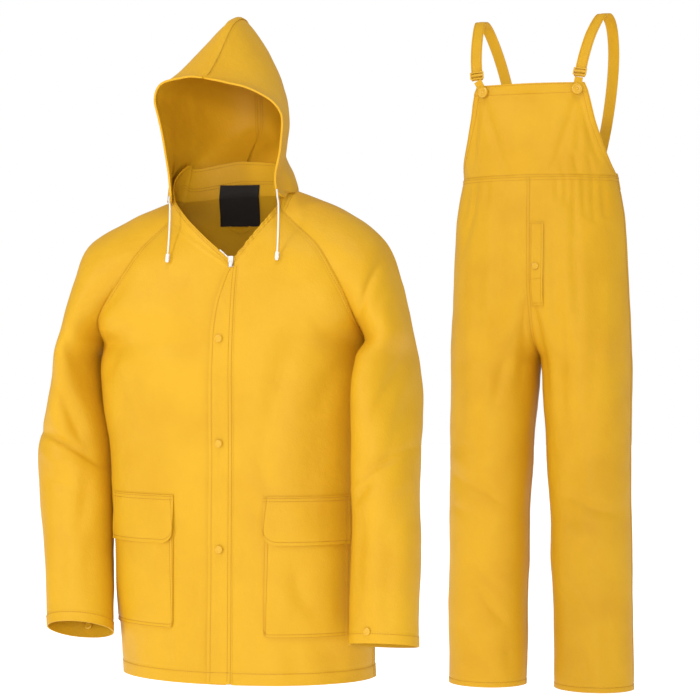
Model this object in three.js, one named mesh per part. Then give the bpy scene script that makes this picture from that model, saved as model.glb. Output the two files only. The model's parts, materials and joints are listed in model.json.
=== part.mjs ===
// Two-piece rain suit: a hooded raglan jacket and bib overalls, worn hollow.
// Millimetres, +Z up. The garments face -Y and are turned towards -X.
import * as THREE from 'three';

// Cloth and seams
const CLOTH = 1.8;
const OVERLAY = 1.5;
const SEAM_PULL = 0.2;
const LIFT = 0.5;

// Where each garment stands and how far it is turned, in millimetres and degrees
const JACKET = { x: 0, y: 0, turn: -13 };
const OVERALLS = { x: 600, y: 1000, turn: -18 };

// Jacket driving sizes
const HEM_Z = -808;
const FRONT_X = 5;
const ZIP_HALF = 4.5;
const FLAP_FREE = 33;
const FLAP_SEWN = 9;
const SNAP_RADIUS = 6.5;
const SNAP_OFFSET = 16;
const SNAP_HEIGHT = 3;
const CORD_RADIUS = 1.5;
const TIP_RADIUS = 2.6;
const LABEL_SPAN = 2.1;
const LABEL_SHIFT = 0.6;

// Overalls driving sizes
const BIB_TOP_Z = 338;
const STRAP_WIDTH = 25;
const BUTTON_RADIUS = 12;
const BUTTON_X = 106;
const TAB_WIDTH = 18;
const BUCKLE_HALF = 15;

// Grid counts
const FRONT_COLS = 8;
const ARC_COLS = 5;
const LEG_COLS = 7;
const SHOULDER_ROWS = 9;
const HOOD_ROWS = 11;
const TRUNK_ROWS = 7;

const RAD = Math.PI / 180;
const YELLOW = 0xefb32c;
const WHITE = 0xf2f1ec;
const BLACK = 0x16150f;

// Raglan rows of one shoulder: a point midway between the front and back seams, how the row
// leans, its half depth, its opening angle, and the ridge over the shoulder. side is -1 or 1.
const SHOULDERS = {
  right: {
    side: -1,
    rows: [
      { t: 0.0, x: 126, y: -25, z: -1, lean: 0.44, depth: 54, open: 62, ridgeX: 140, ridgeY: -22, ridgeZ: 12 },
      { t: 0.25, x: 168, y: -18, z: -50, lean: 0.25, depth: 84, open: 78, ridgeX: 207, ridgeY: -20, ridgeZ: -14 },
      { t: 0.5, x: 205, y: -12, z: -115, lean: 0.1, depth: 97, open: 95, ridgeX: 280, ridgeY: -22, ridgeZ: -56 },
      { t: 0.75, x: 241, y: -10, z: -178, lean: 0, depth: 100, open: 118, ridgeX: 306, ridgeY: -22, ridgeZ: -125 },
      { t: 0.9, x: 257, y: -8, z: -208, lean: 0, depth: 100, open: 145, ridgeX: 320, ridgeY: -20, ridgeZ: -176 },
      { t: 1.0, x: 264, y: -5, z: -232, lean: 0, depth: 98, open: 180, ridgeX: 330, ridgeY: -16, ridgeZ: -208 },
    ],
    sleeve: [
      { z: -262, x: 312, y: 0, half: 39, depth: 95, pitch: 4, twist: 0 },
      { z: -320, x: 317, y: 6, half: 48, depth: 88, pitch: 6, twist: 0 },
      { z: -390, x: 323, y: 8, half: 60, depth: 78, pitch: 8, twist: 0 },
      { z: -440, x: 326, y: 4, half: 64, depth: 72, pitch: 12, twist: 0 },
      { z: -520, x: 317, y: -14, half: 63, depth: 64, pitch: 19, twist: 0 },
      { z: -610, x: 303, y: -42, half: 60, depth: 57, pitch: 22, twist: 0 },
      { z: -732, x: 284, y: -80, half: 59, depth: 49, pitch: 25, twist: 0 },
    ],
  },
  left: {
    side: 1,
    rows: [
      { t: 0.0, x: 81, y: -25, z: 9, lean: 0.44, depth: 54, open: 62, ridgeX: 86, ridgeY: -22, ridgeZ: 27 },
      { t: 0.25, x: 143, y: -18, z: -43, lean: 0.25, depth: 84, open: 78, ridgeX: 178, ridgeY: -22, ridgeZ: -10 },
      { t: 0.5, x: 179, y: -14, z: -108, lean: 0.1, depth: 97, open: 95, ridgeX: 245, ridgeY: -25, ridgeZ: -60 },
      { t: 0.75, x: 201, y: -14, z: -168, lean: 0, depth: 99, open: 118, ridgeX: 276, ridgeY: -30, ridgeZ: -130 },
      { t: 0.9, x: 209, y: -14, z: -203, lean: 0, depth: 97, open: 145, ridgeX: 287, ridgeY: -36, ridgeZ: -174 },
      { t: 1.0, x: 213, y: -12, z: -230, lean: 0, depth: 92, open: 180, ridgeX: 294, ridgeY: -42, ridgeZ: -205 },
    ],
    sleeve: [
      { z: -262, x: 256, y: -43, half: 42, depth: 91, pitch: 4, twist: 14 },
      { z: -320, x: 261, y: -73, half: 45, depth: 84, pitch: 6, twist: 24 },
      { z: -390, x: 264, y: -95, half: 50, depth: 74, pitch: 8, twist: 26 },
      { z: -470, x: 266, y: -108, half: 54, depth: 66, pitch: 8, twist: 20 },
      { z: -560, x: 268, y: -114, half: 57, depth: 60, pitch: 9, twist: 10 },
      { z: -650, x: 267, y: -121, half: 58, depth: 54, pitch: 10, twist: 4 },
      { z: -736, x: 267, y: -128, half: 59, depth: 48, pitch: 12, twist: 0 },
    ],
  },
};

// Centre front and centre back of the shoulder rows
const CENTRE_ROWS = [
  { t: 0.0, frontY: -135, frontZ: -103, backY: 52, backZ: 30, backX: -24, sweep: 60 },
  { t: 0.25, frontY: -141, frontZ: -132, backY: 88, backZ: -20, backX: -20, sweep: 70 },
  { t: 0.5, frontY: -146, frontZ: -162, backY: 112, backZ: -82, backX: -16, sweep: 78 },
  { t: 0.75, frontY: -149, frontZ: -192, backY: 126, backZ: -150, backX: -12, sweep: 85 },
  { t: 1.0, frontY: -151, frontZ: -222, backY: 132, backZ: -222, backX: -8, sweep: 90 },
];

// Body rings below the armpit: reach to each side, and to the front and back
const BODY_RINGS = [
  { z: -232, right: 264, left: 213, front: 151, back: 132 },
  { z: -276, right: 270, left: 214, front: 153, back: 133 },
  { z: -332, right: 266, left: 214, front: 151, back: 131 },
  { z: -418, right: 252, left: 215, front: 149, back: 128 },
  { z: -522, right: 245, left: 218, front: 148, back: 126 },
  { z: -670, right: 237, left: 222, front: 148, back: 126 },
  { z: -808, right: 226, left: 225, front: 149, back: 127 },
];
const BODY_LEVELS = [-262, -305, -360, -415, -470, -525, -580, -640, -700, -760, HEM_Z];
const SLEEVE_LEVELS = [0, 0.09, 0.18, 0.27, 0.34, 0.41, 0.5, 0.62, 0.75, 0.88, 1];

// Hood: its opening edge from the right corner over the brim to the left corner, and the
// profile of its centre seam from the nape over the peak to the brim
const HOOD_EDGE_RIGHT = [
  { v: 0.0, x: -116, y: -76, z: 4 },
  { v: 0.2, x: -121, y: -100, z: 84 },
  { v: 0.4, x: -129, y: -116, z: 150 },
  { v: 0.5, x: -134, y: -122, z: 180 },
  { v: 0.6, x: -126, y: -128, z: 202 },
  { v: 0.7, x: -109, y: -133, z: 212 },
  { v: 0.86, x: -70, y: -143, z: 216 },
  { v: 1.0, x: -40, y: -150, z: 214 },
];
const HOOD_EDGE_LEFT = [
  { v: 0.0, x: 86, y: -88, z: 4 },
  { v: 0.12, x: 72, y: -99, z: 40 },
  { v: 0.3, x: 83, y: -111, z: 92 },
  { v: 0.42, x: 89, y: -119, z: 132 },
  { v: 0.52, x: 88, y: -126, z: 154 },
  { v: 0.64, x: 74, y: -135, z: 173 },
  { v: 0.8, x: 30, y: -147, z: 197 },
  { v: 1.0, x: -40, y: -150, z: 214 },
];
const HOOD_SEAM = [
  { v: 0.0, x: -24, y: 55, z: 31 },
  { v: 0.12, x: -18, y: 84, z: 90 },
  { v: 0.28, x: -13, y: 98, z: 170 },
  { v: 0.42, x: -13, y: 88, z: 250 },
  { v: 0.54, x: -17, y: 62, z: 308 },
  { v: 0.62, x: -22, y: 30, z: 338 },
  { v: 0.74, x: -28, y: -30, z: 320 },
  { v: 0.88, x: -34, y: -100, z: 257 },
  { v: 1.0, x: -40, y: -150, z: 214 },
];

// Trunk rows of the overalls from the waist to the crotch, and the leg rings below
const TRUNK = [
  { t: 0.0, z: 135, y: 2, depth: 116, open: 90, side: 174 },
  { t: 0.2, z: 55, y: 3, depth: 122, open: 92, side: 188 },
  { t: 0.45, z: -40, y: 4, depth: 126, open: 97, side: 196 },
  { t: 0.7, z: -130, y: 5, depth: 128, open: 108, side: 200 },
  { t: 0.85, z: -195, y: 8, depth: 128, open: 128, side: 203 },
  { t: 0.95, z: -240, y: 12, depth: 126, open: 153, side: 204 },
  { t: 1.0, z: -268, y: 15, depth: 124, open: 180, side: 204 },
];
const LEG_RINGS = [
  { z: -268, inner: 0, outer: 204, y: 15, depth: 124 },
  { z: -312, inner: 5, outer: 204, y: 12, depth: 121 },
  { z: -430, inner: 15, outer: 204, y: 6, depth: 111 },
  { z: -585, inner: 23, outer: 205, y: 0, depth: 98 },
  { z: -770, inner: 29, outer: 208, y: 2, depth: 86 },
  { z: -994, inner: 33, outer: 210, y: 6, depth: 77 },
];
const LEG_LEVELS = [-305, -360, -425, -490, -535, -575, -620, -690, -765, -840, -918, -994];
const BIB_ROWS = [
  { z: 135, half: 174, centreY: -114, edgeY: 2, sweep: 90 },
  { z: 170, half: 165, centreY: -116, edgeY: -40, sweep: 78 },
  { z: 205, half: 155, centreY: -118, edgeY: -62, sweep: 68 },
  { z: 256, half: 141, centreY: -117, edgeY: -80, sweep: 60 },
  { z: 318, half: 128, centreY: -113, edgeY: -92, sweep: 52 },
  { z: 338, half: 120, centreY: -112, edgeY: -94, sweep: 50 },
];
const BIB_LEVELS = [160, 190, 222, 255, 288, 318, BIB_TOP_Z];

// Largest folds: a soft trough along a line in the garment's front plane. face -1 is the front
// and 1 the back; a negative depth stands out.
const JACKET_FOLDS = [
  { face: -1, x1: -388, z1: -404, x2: -285, z2: -452, width: 16, depth: 9 },
  { face: -1, x1: -380, z1: -372, x2: -290, z2: -425, width: 14, depth: -4 },
  { face: -1, x1: 322, z1: -415, x2: 232, z2: -470, width: 18, depth: 9 },
  { face: -1, x1: 318, z1: -455, x2: 240, z2: -500, width: 14, depth: -4 },
  { face: -1, x1: 258, z1: -72, x2: 210, z2: -200, width: 16, depth: 8 },
  { face: -1, x1: -262, z1: -215, x2: -190, z2: -130, width: 15, depth: 5 },
  { face: 1, x1: -240, z1: -195, x2: -150, z2: -110, width: 18, depth: 3 },
  { face: 1, x1: 190, z1: -195, x2: 110, z2: -110, width: 18, depth: 3 },
  { face: 1, x1: -40, z1: -330, x2: -60, z2: -800, width: 26, depth: 5 },
  { face: 1, x1: 60, z1: -380, x2: 80, z2: -800, width: 26, depth: 5 },
];
const OVERALLS_FOLDS = [
  { face: -1, x1: -205, z1: -545, x2: -70, z2: -600, width: 20, depth: 6 },
  { face: -1, x1: 60, z1: -560, x2: 195, z2: -610, width: 20, depth: 5 },
  { face: -1, x1: 55, z1: 60, x2: 70, z2: -420, width: 22, depth: 4 },
  { face: -1, x1: 8, z1: -160, x2: 30, z2: -330, width: 18, depth: 8 },
  { face: -1, x1: -8, z1: -160, x2: -30, z2: -330, width: 18, depth: 6 },
  { face: 1, x1: -70, z1: -140, x2: -20, z2: -300, width: 24, depth: 8 },
  { face: 1, x1: 70, z1: -140, x2: 20, z2: -300, width: 24, depth: 8 },
];

/** Reads a table as smooth tracks: the result gives every column at a value of the key column. */
function track(key, rows) {
  const sign = rows[rows.length - 1][key] > rows[0][key] ? 1 : -1;
  const keys = rows.map((row) => row[key] * sign);
  const last = rows.length - 1;
  const slopeAt = (name, i) => {
    const a = Math.max(0, i - 1);
    const b = Math.min(last, i + 1);
    return (rows[b][name] - rows[a][name]) / (keys[b] - keys[a]);
  };
  return (value) => {
    const k = Math.min(keys[last], Math.max(keys[0], value * sign));
    let i = 0;
    while (i < last - 1 && k > keys[i + 1]) i += 1;
    const span = keys[i + 1] - keys[i];
    const u = (k - keys[i]) / span;
    const out = {};
    for (const name of Object.keys(rows[0])) {
      const h1 = (1 + 2 * u) * (1 - u) * (1 - u);
      const h2 = u * (1 - u) * (1 - u);
      const h3 = u * u * (3 - 2 * u);
      const h4 = u * u * (u - 1);
      out[name] = h1 * rows[i][name] + h3 * rows[i + 1][name]
        + span * (h2 * slopeAt(name, i) + h4 * slopeAt(name, i + 1));
    }
    return out;
  };
}

/** An open arc from the front seam over the ridge to the back seam, or a closed ring at 180. */
function arc(mid, across, ridge, depth, openDegrees, cols, shared = {}) {
  const open = openDegrees * RAD;
  const out = ridge.clone().sub(mid);
  const reach = out.length() / (1 - Math.cos(open));
  out.normalize();
  const centre = ridge.clone().addScaledVector(out, -reach);
  const points = [];
  for (let k = 0; k <= 2 * cols; k += 1) {
    const angle = open * (1 - k / cols);
    const p = centre.clone().addScaledVector(out, reach * Math.cos(angle));
    points.push(p.addScaledVector(across, depth * Math.sin(angle)));
  }
  if (shared.first) points[0] = shared.first;
  if (shared.last) points[2 * cols] = shared.last;
  return points;
}

/** A quarter of a body row, from the centre front or back to a seam point. */
function quarter(centre, seam, sweepDegrees, cols) {
  const sweep = sweepDegrees * RAD;
  const points = [];
  for (let i = 0; i < cols; i += 1) {
    const angle = sweep * (i / cols);
    const s = Math.sin(angle) / Math.sin(sweep);
    const c = (1 - Math.cos(angle)) / (1 - Math.cos(sweep));
    points.push(new THREE.Vector3(
      THREE.MathUtils.lerp(centre.x, seam.x, s),
      THREE.MathUtils.lerp(centre.y, seam.y, c),
      THREE.MathUtils.lerp(centre.z, seam.z, s),
    ));
  }
  points.push(seam);
  return points;
}

/** Outward normals of a skin made of grids that share their seam points. */
function skinNormals(grids) {
  const normals = new Map();
  const edge1 = new THREE.Vector3();
  const edge2 = new THREE.Vector3();
  const add = (a, b, c) => {
    const face = edge1.subVectors(b, a).cross(edge2.subVectors(c, a));
    for (const p of [a, b, c]) {
      if (!normals.has(p)) normals.set(p, new THREE.Vector3());
      normals.get(p).add(face);
    }
  };
  for (const grid of grids) {
    for (let r = 0; r + 1 < grid.length; r += 1) {
      for (let c = 0; c + 1 < grid[r].length; c += 1) {
        add(grid[r][c], grid[r + 1][c], grid[r + 1][c + 1]);
        add(grid[r][c], grid[r + 1][c + 1], grid[r][c + 1]);
      }
    }
  }
  for (const n of normals.values()) n.normalize();
  return normals;
}

/** Presses the folds of a table into the points of a skin. */
function pressFolds(grids, folds) {
  const normals = skinNormals(grids);
  for (const [p, n] of normals) {
    let push = 0;
    for (const f of folds) {
      const dx = f.x2 - f.x1;
      const dz = f.z2 - f.z1;
      const along = ((p.x - f.x1) * dx + (p.z - f.z1) * dz) / (dx * dx + dz * dz);
      const u = Math.min(1, Math.max(0, along));
      const off = Math.hypot(p.x - f.x1 - u * dx, p.z - f.z1 - u * dz);
      const facing = Math.max(0, n.y * f.face);
      push += f.depth * facing * Math.exp(-((off / f.width) ** 2)) * (0.35 + 0.65 * Math.sin(Math.PI * u));
    }
    p.addScaledVector(n, -push);
  }
  return skinNormals(grids);
}

/** Moves a border point of a grid into the grid, square to the border, to leave the seam's gap. */
function pulled(grid, r, c, pull) {
  const rows = grid.length - 1;
  const cols = grid[0].length - 1;
  const point = grid[r][c].clone();
  const toward = (r2, c2, alongRow) => {
    const before = alongRow ? grid[r][Math.max(0, c - 1)] : grid[Math.max(0, r - 1)][c];
    const after = alongRow ? grid[r][Math.min(cols, c + 1)] : grid[Math.min(rows, r + 1)][c];
    const border = new THREE.Vector3().subVectors(after, before).normalize();
    const step = new THREE.Vector3().subVectors(grid[r2][c2], grid[r][c]);
    step.addScaledVector(border, -step.dot(border));
    if (step.lengthSq() > 1e-6) point.addScaledVector(step.normalize(), pull);
  };
  if (r === 0) toward(1, c, true);
  if (r === rows) toward(rows - 1, c, true);
  if (c === 0) toward(r, 1, false);
  if (c === cols) toward(r, cols - 1, false);
  return point;
}

/** A closed wall on a grid: outer face, inner face and four rims. */
function wall(grid, normalOf, { thickness = CLOTH, lift = 0, pull = SEAM_PULL } = {}) {
  const rows = grid.length;
  const cols = grid[0].length;
  const positions = [];
  const put = (inner) => grid.forEach((row, r) => row.forEach((p, c) => {
    const n = normalOf(p, r, c);
    const q = pulled(grid, r, c, pull).addScaledVector(n, lift + (inner ? 0 : thickness * (lift > 0 ? 1 : 0)));
    if (inner && lift === 0) q.addScaledVector(n, -thickness);
    positions.push(q.x, q.y, q.z);
  }));
  put(false);
  put(true);
  const at = (r, c, layer) => layer * rows * cols + r * cols + c;
  const index = [];
  const quad = (a, b, c, d) => index.push(a, b, c, a, c, d);
  for (let r = 0; r + 1 < rows; r += 1) {
    for (let c = 0; c + 1 < cols; c += 1) {
      quad(at(r, c, 0), at(r + 1, c, 0), at(r + 1, c + 1, 0), at(r, c + 1, 0));
      index.push(at(r, c, 1), at(r + 1, c + 1, 1), at(r + 1, c, 1));
      index.push(at(r, c, 1), at(r, c + 1, 1), at(r + 1, c + 1, 1));
    }
  }
  for (let c = 0; c + 1 < cols; c += 1) {
    quad(at(0, c, 0), at(0, c + 1, 0), at(0, c + 1, 1), at(0, c, 1));
    quad(at(rows - 1, c + 1, 0), at(rows - 1, c, 0), at(rows - 1, c, 1), at(rows - 1, c + 1, 1));
  }
  for (let r = 0; r + 1 < rows; r += 1) {
    quad(at(r + 1, 0, 0), at(r, 0, 0), at(r, 0, 1), at(r + 1, 0, 1));
    quad(at(r, cols - 1, 0), at(r + 1, cols - 1, 0), at(r + 1, cols - 1, 1), at(r, cols - 1, 1));
  }
  const geometry = new THREE.BufferGeometry();
  geometry.setAttribute('position', new THREE.Float32BufferAttribute(positions, 3));
  geometry.setIndex(index);
  return geometry;
}

/** Point and normal of a skin grid at a fractional row and column. */
function sample(grid, normals, row, col) {
  const r = Math.min(grid.length - 2, Math.floor(row));
  const c = Math.min(grid[0].length - 2, Math.floor(col));
  const [u, v] = [row - r, col - c];
  const [A, B, C, D] = [grid[r][c], grid[r + 1][c], grid[r + 1][c + 1], grid[r][c + 1]];
  // The two triangles of a grid cell meet on the line from A to C
  const mix = (get) => {
    const low = v <= u;
    const weights = low ? [1 - u, u - v, v, 0] : [1 - v, 0, u, v - u];
    const out = new THREE.Vector3();
    [A, B, C, D].forEach((p, i) => out.addScaledVector(get(p), weights[i]));
    return out;
  };
  return { point: mix((p) => p), normal: mix((p) => normals.get(p)).normalize() };
}

/** The fractional indices from one value to another, with every whole line between. */
function lines(from, to) {
  const list = [from];
  for (let i = Math.floor(from) + 1; i < to; i += 1) {
    if (i - from > 0.05 && to - i > 0.05) list.push(i);
  }
  list.push(to);
  return list;
}

/** A sheet that lies on a panel, made from the panel's own points moved out. */
function overlay(grid, normals, { top, bottom, from, to }, lift = LIFT) {
  const columns = lines(from, to);
  const upper = columns.map((c) => top(c));
  const lower = columns.map((c) => bottom(c));
  const middle = lines(Math.max(...upper), Math.min(...lower));
  const found = new Map();
  const sheet = middle.map((row, i) => columns.map((c, k) => {
    const edgeRow = i === 0 ? upper[k] : i === middle.length - 1 ? lower[k] : row;
    const { point, normal } = sample(grid, normals, edgeRow, c);
    found.set(point, normal);
    return point;
  }));
  return wall(sheet, (p) => found.get(p), { thickness: OVERLAY, lift });
}

/** The fractional index at which a list of points passes a coordinate. */
function indexAt(points, axis, value) {
  for (let i = 0; i + 1 < points.length; i += 1) {
    const [a, b] = [points[i][axis], points[i + 1][axis]];
    if ((a - value) * (b - value) <= 0 && a !== b) return i + (value - a) / (b - a);
  }
  return Math.abs(points[0][axis] - value) < Math.abs(points.at(-1)[axis] - value) ? 0 : points.length - 1;
}

function material(color, roughness, metalness = 0) {
  return new THREE.MeshStandardMaterial({ color, roughness, metalness });
}
const cloth = () => material(YELLOW, 0.55);

function piece(name, geometry, look) {
  const mesh = new THREE.Mesh(geometry, look);
  mesh.name = name;
  return mesh;
}

/** Turns and places a small solid so that its +Y axis follows a surface normal. */
function seated(mesh, point, normal, distance) {
  mesh.quaternion.setFromUnitVectors(new THREE.Vector3(0, 1, 0), normal);
  mesh.position.copy(point).addScaledVector(normal, distance);
  return mesh;
}

/** A domed snap cap or button: a lathe about +Y from its flat back. */
function dome(radius, height, sides = 20) {
  const profile = [
    new THREE.Vector2(0, 0),
    new THREE.Vector2(radius * 0.94, 0),
    new THREE.Vector2(radius, height * 0.3),
    new THREE.Vector2(radius * 0.84, height * 0.72),
    new THREE.Vector2(radius * 0.5, height),
    new THREE.Vector2(0, height * 0.92),
  ];
  return new THREE.LatheGeometry(profile, sides);
}

/** A flat band along a curve, its width along the given side vectors. */
function band(points, sides, width, thickness) {
  const grid = points.map((p, i) => [
    p.clone().addScaledVector(sides[i], -width / 2),
    p.clone().addScaledVector(sides[i], width / 2),
  ]);
  const normals = skinNormals([grid]);
  return wall(grid, (p) => normals.get(p), { thickness, pull: 0 });
}

/** All the points of the jacket's body and sleeves. */
function jacketSkin() {
  const centre = track('t', CENTRE_ROWS);
  const body = track('z', BODY_RINGS);
  const forward = new THREE.Vector3(0, -1, 0);
  const skin = { right: { front: [], back: [], sleeve: [] }, left: { front: [], back: [], sleeve: [] } };
  const backCentre = [];
  for (let j = 0; j <= SHOULDER_ROWS; j += 1) {
    const c = centre(j / SHOULDER_ROWS);
    backCentre.push(new THREE.Vector3(c.backX, c.backY, c.backZ));
  }
  for (const z of BODY_LEVELS) {
    const share = (z + 232) / (HEM_Z + 232);
    backCentre.push(new THREE.Vector3(-8 + 8 * share, body(z).back, z));
  }
  for (const [name, { side, rows, sleeve }] of Object.entries(SHOULDERS)) {
    const shoulder = track('t', rows);
    const part = skin[name];
    for (let j = 0; j <= SHOULDER_ROWS; j += 1) {
      const t = j / SHOULDER_ROWS;
      const s = shoulder(t);
      const c = centre(t);
      const mid = new THREE.Vector3(side * s.x, s.y, s.z);
      const ridge = new THREE.Vector3(side * s.ridgeX, s.ridgeY, s.ridgeZ);
      const across = forward.clone().setZ(-Math.max(0, s.lean)).normalize();
      const underarm = j === SHOULDER_ROWS ? mid.clone() : null;
      const row = arc(mid, across, ridge, s.depth, Math.min(180, s.open), ARC_COLS,
        underarm ? { first: underarm, last: underarm } : {});
      const front = new THREE.Vector3(FRONT_X + side * ZIP_HALF, c.frontY, c.frontZ);
      part.sleeve.push(row);
      part.front.push(quarter(front, row[0], c.sweep, FRONT_COLS));
      part.back.push(quarter(backCentre[j], row[2 * ARC_COLS], c.sweep, FRONT_COLS));
    }
    BODY_LEVELS.forEach((z, i) => {
      const b = body(z);
      const seam = new THREE.Vector3(side * b[name], -4, z);
      const front = new THREE.Vector3(FRONT_X + side * ZIP_HALF, -b.front, z);
      part.front.push(quarter(front, seam, 90, FRONT_COLS));
      part.back.push(quarter(backCentre[SHOULDER_ROWS + 1 + i], seam, 90, FRONT_COLS));
    });
    const rings = track('z', sleeve);
    const [first, end] = [sleeve[0].z, sleeve[sleeve.length - 1].z];
    for (const level of SLEEVE_LEVELS) {
      const s = rings(first + (end - first) * level);
      const [pitch, twist] = [s.pitch * RAD, s.twist * RAD];
      const out = new THREE.Vector3(side * Math.cos(twist), -Math.sin(twist), 0);
      const across = new THREE.Vector3(-side * Math.sin(twist) * Math.cos(pitch),
        -Math.cos(twist) * Math.cos(pitch), Math.sin(pitch));
      const middle = new THREE.Vector3(side * s.x, s.y, s.z);
      const inner = middle.clone().addScaledVector(out, -s.half);
      const outer = middle.clone().addScaledVector(out, s.half);
      part.sleeve.push(arc(inner, across, outer, s.depth, 180, ARC_COLS, { first: inner, last: inner }));
    }
  }
  return skin;
}

/** The neck ring from the right front edge round the back to the left front edge. */
function neckRing(skin) {
  const half = (part) => [...part.front[0], ...part.sleeve[0].slice(1), ...part.back[0].slice(0, -1).reverse()];
  const right = half(skin.right);
  const left = half(skin.left);
  return [...right, ...left.slice(0, -1).reverse()];
}

/** The stand collar's rows above the neck ring. */
function collarRows(ring) {
  const count = ring.length - 1;
  const centre = new THREE.Vector3(-24, -35, 0);
  const rows = [0.34, 0.67, 1].map((share) => ring.map((p, i) => {
    const back = Math.abs(Math.sin(Math.PI * i / count)) ** 1.6;
    const height = (12 + 47 * back) * share;
    const lean = 1 - (0.05 + 0.15 * back) * share;
    return new THREE.Vector3(
      centre.x + (p.x - centre.x) * lean - 8 * back * share,
      centre.y + (p.y - centre.y) * lean,
      p.z + height,
    );
  }));
  return [...rows.reverse(), ring];
}

/** One half of the hood as a grid from the opening edge to the centre seam. */
function hoodGrid(edgeRows, ringHalf, seamPoints, { fullness, ease }) {
  const edge = track('v', edgeRows);
  const count = ringHalf.length - 1;
  const centre = new THREE.Vector3(-24, -35, 0);
  const grid = [];
  for (let r = 0; r <= HOOD_ROWS; r += 1) {
    const v = r / HOOD_ROWS;
    const e = edge(v);
    const seam = seamPoints[r];
    const keepRound = 1 - THREE.MathUtils.smoothstep(v, 0.06, 0.27);
    const keepLevel = 1 - THREE.MathUtils.smoothstep(v, 0, 0.14);
    grid.push(ringHalf.map((p, i) => {
      if (i === count) return seam;
      const angle = (i / count) * Math.PI / 2;
      const swell = fullness * Math.sin(2 * angle) * (1 - v);
      const free = new THREE.Vector3(
        seam.x + (e.x - seam.x) * (Math.cos(angle) ** 0.8 + swell),
        e.y + (seam.y - e.y) * Math.sin(angle),
        e.z + (seam.z - e.z) * (1 - Math.cos(angle)) ** 0.8,
      );
      const radial = new THREE.Vector3(p.x - centre.x, p.y - centre.y, 0).normalize();
      const lift = 0.8 + 26 * (1 - THREE.MathUtils.smoothstep(i / count, 0, 0.3));
      const sewn = p.clone().addScaledVector(radial, ease).setZ(p.z + lift);
      const level = THREE.MathUtils.lerp(free.z, sewn.z, keepLevel);
      const round = r > 0 ? keepRound * THREE.MathUtils.smoothstep(i / count, 0, 0.25) : 1;
      return free.lerp(sewn, round).setZ(level);
    }));
  }
  return grid;
}

/** Flips the column order of a grid, so that the other half of a pair faces outward too. */
const mirrored = (grid) => grid.map((row) => [...row].reverse());

function buildJacket() {
  const group = new THREE.Group();
  const skin = jacketSkin();
  const ring = neckRing(skin);
  const collar = collarRows(ring);
  const zip = skin.right.front.map((row, j) => [row[0], skin.left.front[j][0]]);
  const back = skin.left.back.map((row, j) => [...row].reverse().concat(skin.right.back[j].slice(1)));
  const half = (part, from, to) => part.sleeve.map((row) => row.slice(from, to + 1));
  const grids = {
    jacket_front_right: mirrored(skin.right.front),
    jacket_front_left: skin.left.front,
    jacket_back: back,
    sleeve_front_right: mirrored(half(skin.right, 0, ARC_COLS)),
    sleeve_back_right: mirrored(half(skin.right, ARC_COLS, 2 * ARC_COLS)),
    sleeve_front_left: half(skin.left, 0, ARC_COLS),
    sleeve_back_left: half(skin.left, ARC_COLS, 2 * ARC_COLS),
    zip_chain: zip,
    collar: mirrored(collar),
  };
  const normals = pressFolds(Object.values(grids), JACKET_FOLDS);
  for (const [name, grid] of Object.entries(grids)) {
    const look = name === 'zip_chain' ? material(WHITE, 0.5) : cloth();
    const options = name === 'zip_chain' ? { thickness: 2.4 } : {};
    if (name === 'collar') options.pull = 0.75;
    group.add(piece(name, wall(grid, (p) => normals.get(p), options), look));
  }
  addHood(group, ring);
  addFrontDetails(group, skin, normals, collar);
  addCuffSnaps(group, grids, normals);
  return group;
}

function addHood(group, ring) {
  const seam = track('v', HOOD_SEAM);
  const seamPoints = [];
  for (let r = 0; r <= HOOD_ROWS; r += 1) {
    const s = seam(r / HOOD_ROWS);
    seamPoints.push(new THREE.Vector3(s.x, s.y, s.z));
  }
  const middle = (ring.length - 1) / 2;
  const rightRing = ring.slice(FRONT_COLS, middle + 1);
  const leftRing = ring.slice(middle, ring.length - FRONT_COLS).reverse();
  const right = hoodGrid(HOOD_EDGE_RIGHT, rightRing, seamPoints, { fullness: 0.03, ease: 0.15 });
  const left = hoodGrid(HOOD_EDGE_LEFT, leftRing, seamPoints, { fullness: -0.09, ease: 0.1 });
  // The rows meet in one point at the brim, so the last row stays a little short of it
  const top = (grid) => grid.slice(0, -1).concat([
    grid[HOOD_ROWS - 1].map((p, i) => p.clone().lerp(grid[HOOD_ROWS][i], 0.72)),
  ]);
  const shortRight = top(right);
  const shortLeft = top(left);
  shortLeft[HOOD_ROWS][shortLeft[0].length - 1] = shortRight[HOOD_ROWS][shortRight[0].length - 1];
  const grids = {
    hood_right: [...shortRight].reverse(),
    hood_left: mirrored([...shortLeft].reverse()),
  };
  const normals = skinNormals(Object.values(grids));
  for (const [name, grid] of Object.entries(grids)) {
    group.add(piece(name, wall(grid, (p) => normals.get(p)), cloth()));
  }
}

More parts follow.
